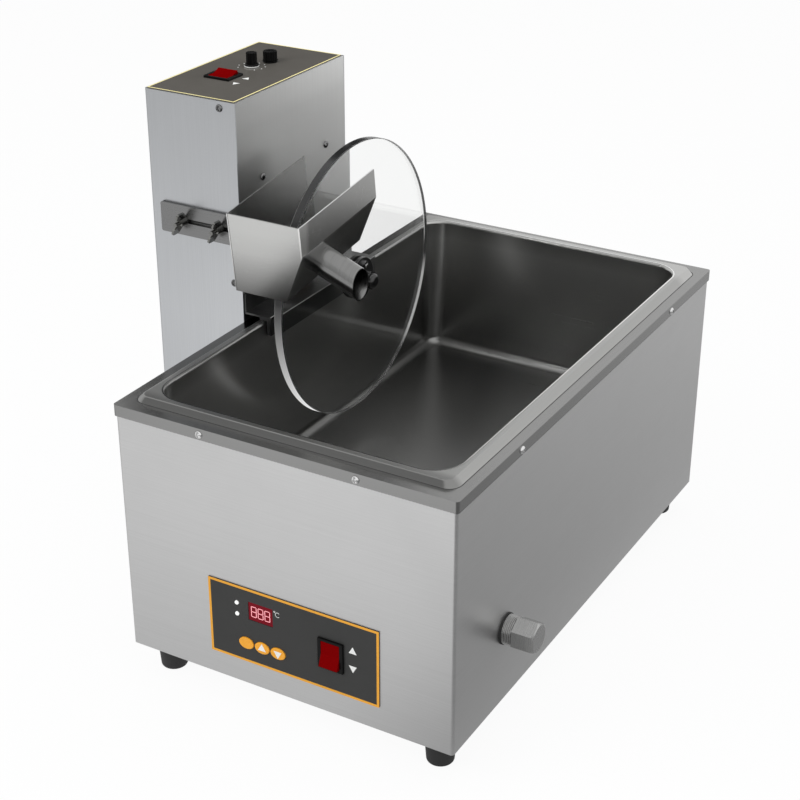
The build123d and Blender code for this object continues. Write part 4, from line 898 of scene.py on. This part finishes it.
@dataclass
class ControlPanel:
    """Front label plate with its printed frame, arrows and lit digits."""

    datum: Datum
    finishes: Finishes
    x0: float = 93.5
    x1: float = 271.0
    z0: float = 24.5
    z1: float = 103.5
    face_y: float = 0.4
    line: float = 2.4
    radius: float = 0.6
    arrow_x: float = 244.6
    arrow_zs: tuple[float, float] = (74.2, 56.6)
    arrow_r: float = 4.6
    key_arrow_r: float = 4.9
    key_xs: tuple[float, float] = (149.9, 166.8)
    key_z: float = 45.0
    key_proud: float = 1.2
    window: tuple[float, float] = (149.0, 80.5)
    window_recess: float = 0.4
    digit_w: float = 5.2
    digit_h: float = 10.4
    digit_pitch: float = 7.2
    stroke: float = 0.75
    tip_gap: float = 0.35
    mark: tuple[float, float] = (17.2, 5.5)
    mark_line: float = 0.45
    mark_arcs: tuple[tuple[float, float, float, float, int], ...] = (
        (-2.0, 2.5, 0.9, FULL_TURN, 16), (1.2, 0.0, 2.6, 1.55 * math.pi, 18))

    def build(self) -> None:
        """Print the plate and dress its nodes."""
        fin = self.finishes
        dress(fin.label, "control_fascia")
        dress(fin.window, "display_module")
        dress(fin.lamp, "indicator_leds")
        dress(fin.key, "key_set", "key_rise", "key_fall")
        dress(fin.black, "base_switch_body", "key_switches")
        dress(fin.red, "base_switch_rocker")
        dress(fin.board, "control_board")
        self._frame()
        self._arrows()
        self._digits()
        self._degree_mark()

    def _frame(self) -> None:
        """Orange line along the plate's edge."""
        bm = bmesh.new()
        frame_line(bm, self.x1 - self.x0, self.z1 - self.z0, self.line, self.radius)
        middle = self.datum.at((self.x0 + self.x1) / 2, self.face_y, (self.z0 + self.z1) / 2)
        add_piece(put(bm, Facing.FRONT, middle), "panel_frame_line", "machine", self.finishes.orange_ink)

    def _arrows(self) -> None:
        """White arrows beside the switch and on the last two keys."""
        bm = bmesh.new()
        for z, turn in zip(self.arrow_zs, (0.0, math.pi)):
            place = Matrix.Translation((self.arrow_x, z, 0.0)) @ Matrix.Rotation(turn, 4, "Z")
            solid_shape(bm, 3, self.arrow_r, place)
        add_piece(put(bm, Facing.FRONT, self.datum.at(0.0, self.face_y, 0.0)), "panel_arrows", "machine",
                  self.finishes.white_ink)
        for name, x, turn in zip(("rise", "fall"), self.key_xs, (0.0, math.pi)):
            bm = bmesh.new()
            solid_shape(bm, 3, self.key_arrow_r, Matrix.Rotation(turn, 4, "Z"))
            point = self.datum.at(x, self.face_y - self.key_proud, self.key_z)
            key = name + "_key"
            add_piece(put(bm, Facing.FRONT, point), key + "_arrow", key, self.finishes.white_ink)

    def _segment(self, bm: BMesh, x: float, z: float, length: float, upright: bool) -> None:
        """Add one bar of a digit.

        Args:
            bm: Mesh that receives it.
            x: Middle of the bar.
            z: Middle of the bar.
            length: Length from tip to tip.
            upright: Whether it stands.
        """
        made = solid_shape(bm, 6, self.stroke / 2, Matrix.Identity(4))
        reach = length / 2 - self.stroke / 2
        for vert in made:
            vert.co.y += math.copysign(reach, vert.co.y)
        turn = Matrix.Identity(4) if upright else Matrix.Rotation(math.pi / 2, 4, "Z")
        bmesh.ops.transform(bm, matrix=Matrix.Translation((x, z, 0.0)) @ turn, verts=made)

    def _digits(self) -> None:
        """Three digits with every bar lit."""
        bm = bmesh.new()
        half_w = self.digit_w / 2
        bar = self.digit_h / 2
        for step in (-1, 0, 1):
            x = step * self.digit_pitch
            for z in (-bar, 0.0, bar):
                self._segment(bm, x, z, self.digit_w - self.tip_gap, False)
            for side in (-half_w, half_w):
                for z in (-bar / 2, bar / 2):
                    self._segment(bm, x + side, z, bar - self.tip_gap, True)
        point = self.datum.at(self.window[0], self.face_y + self.window_recess, self.window[1])
        add_piece(put(bm, Facing.FRONT, point), "display_digits", "machine", self.finishes.digit)

    def _degree_mark(self) -> None:
        """Small degree ring and open arc beside the window."""
        bm = bmesh.new()
        for x, z, outer, span, steps in self.mark_arcs:
            before = set(bm.verts)
            rim = [bm.verts.new((radius, 0.0, 0.0)) for radius in (outer - self.mark_line, outer)]
            edge = bm.edges.new(rim)
            bmesh.ops.spin(bm, geom=rim + [edge], cent=(0, 0, 0), axis=(0, 0, 1), angle=span, steps=steps,
                           use_merge=span == FULL_TURN)
            made = [vert for vert in bm.verts if vert not in before]
            turn = Matrix.Rotation((FULL_TURN - span) / 2, 4, "Z")
            bmesh.ops.transform(bm, matrix=Matrix.Translation((x, z, 0.0)) @ turn, verts=made)
        thicken(bm, list(bm.faces), PRINT_T)
        point = self.datum.at(self.window[0] + self.mark[0], self.face_y, self.window[1] + self.mark[1])
        add_piece(put(bm, Facing.FRONT, point), "degree_mark", "machine", self.finishes.white_ink)


@dataclass
class TowerTop:
    """Top label plate of the tower with its controls."""

    datum: Datum
    finishes: Finishes
    x0: float = -102.0
    x1: float = -2.5
    y0: float = 206.05
    y1: float = 393.55
    top: float = 471.0
    line: float = 1.5
    radius: float = 0.6
    arrows: tuple[tuple[float, float, float], ...] = ((-36.2, 257.0, 180.0), (-36.2, 275.5, 0.0))
    arrow_r: float = 4.3
    knob: tuple[float, float] = (-56.0, 313.5)
    dot_ring: float = 13.5
    dot_r: float = 0.7
    dots: int = 9
    dot_sides: int = 14
    dot_sweep: float = 270.0
    ring: tuple[float, float] = (7.2, 7.5)
    ring_h: float = 0.9
    ring_lift: float = 0.4
    ring_steps: int = 40

    def build(self) -> None:
        """Print the plate and dress the controls."""
        fin = self.finishes
        dress(fin.top_label, "tower_fascia")
        dress(fin.black, "tower_switch_body", "speed_knob", "fuse_holder", "fuse_cap", "speed_potentiometer")
        dress(fin.red, "tower_switch_rocker")
        bm = bmesh.new()
        frame_line(bm, self.x1 - self.x0, self.y1 - self.y0, self.line, self.radius)
        middle = self.datum.at((self.x0 + self.x1) / 2, (self.y0 + self.y1) / 2, self.top)
        add_piece(put(bm, Facing.UP, middle), "tower_frame_line", "machine", fin.yellow_ink)
        bm = bmesh.new()
        for x, y, turn in self.arrows:
            place = Matrix.Translation((x, y, 0.0)) @ Matrix.Rotation(math.radians(turn), 4, "Z")
            solid_shape(bm, 3, self.arrow_r, place)
        for count in range(self.dots):
            angle = math.radians(90.0 - self.dot_sweep / 2 + self.dot_sweep * count / (self.dots - 1))
            x = self.knob[0] + self.dot_ring * math.cos(angle)
            y = self.knob[1] + self.dot_ring * math.sin(angle)
            solid_shape(bm, self.dot_sides, self.dot_r, Matrix.Translation((x, y, 0.0)))
        point = self.datum.at(0.0, 0.0, self.top)
        add_piece(put(bm, Facing.UP, point), "tower_marks", "machine", fin.white_ink)
        self._skirt_ring()

    def _skirt_ring(self) -> None:
        """Pale ring round the knob's skirt."""
        bm = bmesh.new()
        lathe_band(bm, *self.ring, self.ring_h, self.ring_steps)
        point = self.datum.at(*self.knob, self.top + self.ring_lift)
        add_piece(put(bm, Facing.UP, point), "knob_ring", "knob", self.finishes.white_ink)


@dataclass
class DrainThread:
    """Thread on the drain plug's shank."""

    datum: Datum
    finishes: Finishes
    x0: float = 345.3
    x1: float = 355.0
    axis: tuple[float, float] = (97.0, 75.5)
    root: float = 12.9
    crest: float = 14.0
    wall: float = 0.6
    flat: tuple[float, float] = (0.4, 0.6)
    turns: int = 6
    steps: int = 56

    def build(self) -> None:
        """Cut the thread as rings with sloping flanks."""
        length = self.x1 - self.x0
        pitch = length / self.turns
        profile = []
        for turn in range(self.turns):
            start = turn * pitch
            profile += [(self.root, start)] + [(self.crest, start + share * pitch) for share in self.flat]
        bore = self.root - self.wall
        profile += [(self.root, length), (bore, length), (bore, 0.0), (self.root, 0.0)]
        bm = bmesh.new()
        lathe(bm, profile, self.steps)
        point = self.datum.at(self.x0, *self.axis)
        add_piece(put(bm, Facing.RIGHT, point), "drain_thread", "plug", self.finishes.turned)


@dataclass
class DiscRim:
    """Ground edge of the clear disc, with a painted glow."""

    datum: Datum
    finishes: Finishes
    x0: float = 64.7
    width: float = 7.6
    axis: tuple[float, float] = (299.8, 279.3)
    outer: float = 138.45
    inner: float = 138.1
    steps: int = 180

    def build(self) -> None:
        """Lay a thin matt band with a painted glow round the disc."""
        bm = bmesh.new()
        lathe_band(bm, self.inner, self.outer, self.width, self.steps)
        point = self.datum.at(self.x0, *self.axis)
        add_piece(put(bm, Facing.RIGHT, point), "disc_rim_painted_glow", "mixing_wheel", self.finishes.ground)


@dataclass(frozen=True)
class RingLine:
    """Sizes of one line round the pan."""

    piece: str
    width: float
    depth: float
    line: float
    radius: float
    height: float


@dataclass
class PanLines:
    """Dark joint between the pan's ring and the cover, and a painted highlight line along the pan's mouth.
    """

    datum: Datum
    finishes: Finishes
    middle: tuple[float, float] = (172.5, 279.0)
    seam: RingLine = RingLine("pan_seam", 324.4, 530.9, 0.8, 12.5, 252.0)
    mouth: RingLine = RingLine("mouth_painted_highlight", 302.2, 511.2, 1.3, 30.6, 257.6)

    def build(self) -> None:
        """Lay both lines."""
        # The seam is a dark joint; the mouth's line is a painted highlight.
        rows = ((self.seam, self.finishes.rubber, "black_rubber"),
                (self.mouth, self.finishes.mouth_highlight, "bright_steel"))
        for ring, finish, slot in rows:
            bm = bmesh.new()
            frame_line(bm, ring.width, ring.depth, ring.line, ring.radius)
            point = self.datum.at(*self.middle, ring.height)
            add_piece(put(bm, Facing.UP, point), ring.piece, "machine", finish)


@dataclass
class ScraperTrim:
    """Painted highlight lines on the edges of the hopper and the rim hanger, and a strip behind the slotted
    bar with a painted shadow line.
    """

    datum: Datum
    finishes: Finishes
    edge_x: float = 104.3
    edge_y: float = 146.0
    edge_z: float = 387.7
    edge_w: float = 1.2
    edge_l: float = 131.0
    tilt: float = 7.4
    strip_x: tuple[float, float] = (-72.0, -1.5)
    strip_y: float = 204.0
    strip_h: float = 8.0
    shadow_line_h: float = 1.4
    highlight_w: float = 0.9
    highlight_drop: float = 18.0

    @staticmethod
    def _plate(x0: float, x1: float, y0: float, y1: float) -> BMesh:
        """Thin plate between two corners of the xy plane, in millimetres."""
        bm = bmesh.new()
        verts = bmesh.ops.create_grid(bm, x_segments=1, y_segments=1, size=0.5)["verts"]
        bmesh.ops.scale(bm, vec=(x1 - x0, y1 - y0, 1.0), verts=verts)
        bmesh.ops.translate(bm, vec=((x0 + x1) / 2, (y0 + y1) / 2, 0.0), verts=verts)
        thicken(bm, list(bm.faces), PRINT_T)
        return bm

    def build(self) -> None:
        """Lay the painted highlight lines, the backing strip and the painted shadow line."""
        # Painted highlight along the right edge of the hopper's front plate.
        bm = self._plate(-self.edge_w / 2, self.edge_w / 2, 0.0, self.edge_l)
        bmesh.ops.rotate(bm, cent=(0.0, 0.0, 0.0), matrix=Matrix.Rotation(math.radians(self.tilt), 3, "X"),
                         verts=bm.verts)
        point = self.datum.at(self.edge_x, self.edge_y, self.edge_z)
        add_piece(put(bm, Facing.UP, point), "hopper_painted_highlight", "scraper", self.finishes.cut)
        # Painted highlight along an upper edge of the rim hanger.
        low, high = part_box("rim_hanger")
        bm = self._plate(-self.highlight_w, 0.0, 0.0, (high.y - low.y) / MM)
        point = Vector((high.x, low.y, high.z - self.highlight_drop * MM))
        add_piece(put(bm, Facing.UP, point), "hanger_painted_highlight", "machine", self.finishes.cut)
        low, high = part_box("slotted_bar")
        # A strip in the bar's colour fills the slot, and a thin dark strip along its middle is a painted
        # shadow.
        rows = (("bar_backing_strip", self.strip_h, 0.0, self.finishes.bar, "bright_steel"),
                ("bar_slot_painted_shadow", self.shadow_line_h, PRINT_T, self.finishes.rubber, "black_rubber"))
        for name, height, ahead, finish, slot in rows:
            point = self.datum.at(0.0, self.strip_y - ahead, 0.0)
            point.z = (low.z + high.z) / 2
            bm = self._plate(*self.strip_x, -height / 2, height / 2)
            add_piece(put(bm, Facing.FRONT, point), name, "machine", finish)


class MachineBody:
    """Sheet metal, pan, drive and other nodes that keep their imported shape."""

    def __init__(self, finishes: Finishes) -> None:
        """Keep the finishes."""
        self.finishes = finishes

    def build(self) -> None:
        """Dress the nodes."""
        fin = self.finishes
        dress(fin.sheet, "housing_wrap", "bottom_plate")
        dress(fin.cover, "top_cover")
        dress(fin.pan, "food_pan")
        dress(fin.tank, "bath_tank")
        dress(fin.turned, "heating_element", "temperature_probe", "drain_elbow", "drain_plug", "drive_shaft")
        # The hub's parts take the steel darkened as painted shade.
        dress(fin.dark, "hub_inner_flange", "hub_clamp_flange", "hub_nut")
        dress(fin.rubber, "drain_seal", "base_feet", "tower_feet", "hanger_pad")
        dress(fin.tower, "tower_wrap", "tower_top_plate", "tower_floor", "motor_bracket")
        dress(fin.tower_side, "tower_side_panel")
        dress(fin.hopper, "scraper_hopper")
        dress(fin.spout, "spout_tube")
        dress(fin.bar, "slotted_bar")
        dress(fin.hanger, "rim_hanger")
        dress(fin.bright, "hub_screws")
        dress(fin.clamp, "clamp_studs", "wing_nut_left", "wing_nut_right")
        dress(fin.bronze, "shaft_bush")
        dress(fin.board, "speed_board")
        dress(fin.block, "terminal_block")
        dress(fin.black, "base_gland", "tower_gland")
        dress(fin.alloy, "gearbox")
        dress(fin.paint, "gear_motor")
        dress(fin.clear, "mixing_disc")


@dataclass
class Studio:
    """Plain pale floor, soft lamps, white background and the camera.

    Attributes:
        LAMPS: Name, place, width and power of each lamp.
        FLAGS: Name, middle, size, direction and grey level of each card.
        FRONT_TONE: Span in y before the machine, metres, and the painted shade of the mirrored floor at its
            ends.
        LEFT_TONE: The same in x at the left.
        SIDE_TONE: The same in y at the right.
        SIDE_SPAN: Span in x over which the tone of the right side takes over.
        datum: Zero of the drawing.
        lens: Focal length.
        eye: Camera's place in the drawing, millimetres.
        right: Camera's right direction.
        up: Camera's up direction.
        sensor: Width of the camera's sensor.
        reach: How far the camera sees, metres.
        sky: Colour of the light from all round.
        ambient: Its strength.
        floor_size: Width of the floor, metres.
        floor_drop: How far the floor lies below the feet, metres.
        floor_grey: Grey level of the floor in the lamps' light.
        floor_glow: Share of plain white where the floor is seen.
        target: Point that the lamps look at, metres.
    """

    LAMPS = (("key", (-1.6, -2.6, 2.6), 2.2, 62.0), ("fill", (2.8, -0.9, 1.9), 1.8, 12.0),
             ("top", (0.2, 0.3, 3.0), 2.4, 26.0))
    FLAGS = (("back_flag", (-2.0, 2.6, 2.0), (0.95, 3.0), (0.3, -1.0, -0.35), 0.03),
             ("front_flag", (-2.1, -3.1, 2.2), (4.4, 3.2), (0.55, 0.8, -0.5), 0.42))
    FRONT_TONE = ((-0.72, -0.33), (1.07, 0.72))
    LEFT_TONE = ((-0.75, -0.4), (0.74, 1.0))
    SIDE_TONE = ((-0.3, 0.9), (0.25, 0.62))
    SIDE_SPAN = (0.06, 0.3)

    datum: Datum
    lens: float = 76.644
    eye: Place = (884.07, -1033.192, 929.385)
    right: Place = (0.867164, 0.498021, 0.001284)
    up: Place = (-0.224999, 0.38947, 0.893134)
    sensor: float = 36.0
    reach: float = 60.0
    sky: Colour = (0.96, 0.98, 1.0)
    ambient: float = 0.55
    floor_size: float = 16.0
    floor_drop: float = 0.0004
    floor_grey: float = 0.86
    floor_glow: float = 0.94
    target: Place = (0.0, 0.0, 0.2)

    def build(self) -> None:
        """Set up the stage."""
        bpy.context.scene.view_settings.view_transform = "Standard"
        self._camera()
        self._world()
        self._floor()
        for lamp in self.LAMPS:
            self._lamp(*lamp)
        for flag in self.FLAGS:
            self._flag(*flag)

    def _camera(self) -> None:
        """Place the camera where the photograph was taken from."""
        data = bpy.data.cameras.new("camera")
        data.lens = self.lens
        data.sensor_width = self.sensor
        data.clip_end = self.reach
        camera = bpy.data.objects.new("camera", data)
        right = Vector(self.right).normalized()
        back = right.cross(Vector(self.up)).normalized()
        up = back.cross(right)
        turn = Matrix((right, up, back)).transposed().to_4x4()
        camera.matrix_world = Matrix.Translation(self.datum.at(*self.eye)) @ turn
        bpy.context.scene.collection.objects.link(camera)
        bpy.context.scene.camera = camera

    @staticmethod
    def _seen(graph: ShaderGraph) -> NodeSocket:
        """Light Path factor of camera, glossy and transmission rays."""
        path = graph.add("ShaderNodeLightPath")
        first = graph.math("MAXIMUM", path.outputs["Is Camera Ray"], path.outputs["Is Glossy Ray"])
        return graph.math("MAXIMUM", first, path.outputs["Is Transmission Ray"])

    def _world(self) -> None:
        """White where it is seen, a soft grey as light."""
        world = bpy.data.worlds.new("studio")
        world.use_nodes = True
        bpy.context.scene.world = world
        graph = ShaderGraph(world.node_tree)
        light = world.node_tree.nodes["Background"]
        graph.fill(light, {"Color": (*self.sky, 1.0), "Strength": self.ambient})
        seen = graph.add("ShaderNodeBackground", {"Color": WHITE, "Strength": 1.0})
        inputs = {0: self._seen(graph), 1: light.outputs[0], 2: seen.outputs[0]}
        mix = graph.add("ShaderNodeMixShader", inputs)
        graph.feed(world.node_tree.nodes["World Output"].inputs["Surface"], mix.outputs[0])

    def _floor(self) -> None:
        """Pale floor that keeps a soft shadow."""
        material, graph, surface = self._bare_material("pale_floor")
        grey = (self.floor_grey,) * 3
        matt = graph.add("ShaderNodeBsdfDiffuse", {"Color": (*grey, 1.0)})
        path = graph.add("ShaderNodeLightPath")
        # Glossy rays see the floor's glow dimmed by a painted shadow near the machine and at its right.
        mirrored = graph.math("SUBTRACT", path.outputs["Is Glossy Ray"], path.outputs["Is Transmission Ray"])
        mirrored = graph.math("MAXIMUM", mirrored, 0.0)
        strength = graph.mix(mirrored, 1.0, self._painted_floor_shade(graph))
        glow = graph.add("ShaderNodeEmission", {"Color": WHITE, "Strength": strength})
        share = graph.math("MULTIPLY", self._seen(graph), self.floor_glow)
        mix = graph.add("ShaderNodeMixShader", {0: share, 1: matt.outputs[0], 2: glow.outputs[0]})
        graph.feed(surface, mix.outputs[0])
        floor = self._sheet("floor", (self.floor_size, self.floor_size), material)
        floor.location.z = -self.floor_drop

    @staticmethod
    def _bare_material(name: str) -> tuple[Material, ShaderGraph, NodeSocket]:
        """Material without a shader, with its graph and the socket of its surface."""
        material, graph, shader = new_material(name)
        graph.tree.nodes.remove(shader)
        return material, graph, graph.tree.nodes["Material Output"].inputs["Surface"]

    @staticmethod
    def _sheet(name: str, size: Span, material: Material) -> Object:
        """Flat sheet of a width and height in metres."""
        bm = bmesh.new()
        bmesh.ops.create_grid(bm, x_segments=1, y_segments=1, size=0.5)
        bmesh.ops.scale(bm, vec=(*size, 1.0), verts=bm.verts)
        sheet = link_mesh(bm, name)
        sheet.data.materials.append(material)
        return sheet

    def _painted_floor_shade(self, graph: ShaderGraph) -> NodeSocket:
        """Painted shade of the floor as the machine's metal mirrors it, dimmer near it and at its right."""
        split = graph.add("ShaderNodeSeparateXYZ", {0: graph.coords()}).outputs
        front = graph.remap(split["Y"], *self.FRONT_TONE)
        left = graph.remap(split["X"], *self.LEFT_TONE)
        side = graph.remap(split["Y"], *self.SIDE_TONE)
        share = graph.remap(split["X"], self.SIDE_SPAN)
        return graph.mix(share, graph.math("MULTIPLY", front, left), side)

    @staticmethod
    def _aim(place: Place, towards: Vector) -> Matrix:
        """Matrix of a lamp or card at a place whose face looks along a direction."""
        turn = towards.to_track_quat("-Z", "Y").to_matrix().to_4x4()
        return Matrix.Translation(place) @ turn

    def _lamp(self, name: str, place: Place, size: float, power: float) -> None:
        """Add a soft square lamp aimed at the machine.

        Args:
            name: Name of the lamp.
            place: Where it hangs, metres.
            size: Width, metres.
            power: Watts.
        """
        data = bpy.data.lights.new(name, "AREA")
        data.shape = "RECTANGLE"
        data.size = size
        data.size_y = size
        data.energy = power
        lamp = bpy.data.objects.new(name, data)
        lamp.matrix_world = self._aim(place, Vector(self.target) - Vector(place))
        lamp.visible_glossy = False
        bpy.context.scene.collection.objects.link(lamp)

    def _flag(self, name: str, place: Place, size: Span, facing: Place, shade: float) -> None:
        """Add a grey card that only shows in the machine's metal.

        Args:
            name: Name of the card.
            place: Middle of the card, metres.
            size: Width and height, metres.
            facing: Direction that it faces.
            shade: Grey level.
        """
        material, graph, surface = self._bare_material(name)
        glow = graph.add("ShaderNodeEmission", {"Color": (shade, shade, shade, 1.0), "Strength": 1.0})
        graph.feed(surface, glow.outputs[0])
        card = self._sheet(name, size, material)
        card.matrix_world = self._aim(place, Vector(facing))
        for ray in ("camera", "diffuse", "transmission", "shadow"):
            setattr(card, "visible_" + ray, False)


def main() -> None:
    """Dress the machine and set up the studio."""
    logging.basicConfig(level=logging.INFO, format="%(message)s")
    datum = Datum()
    finishes = Finishes(datum)
    MachineBody(finishes).build()
    for assembly in (ControlPanel, TowerTop, SheetScrews, DrainThread, DiscRim, PanLines, ScraperTrim):
        assembly(datum, finishes).build()
    Studio(datum).build()


if __name__ == "__main__":
    main()
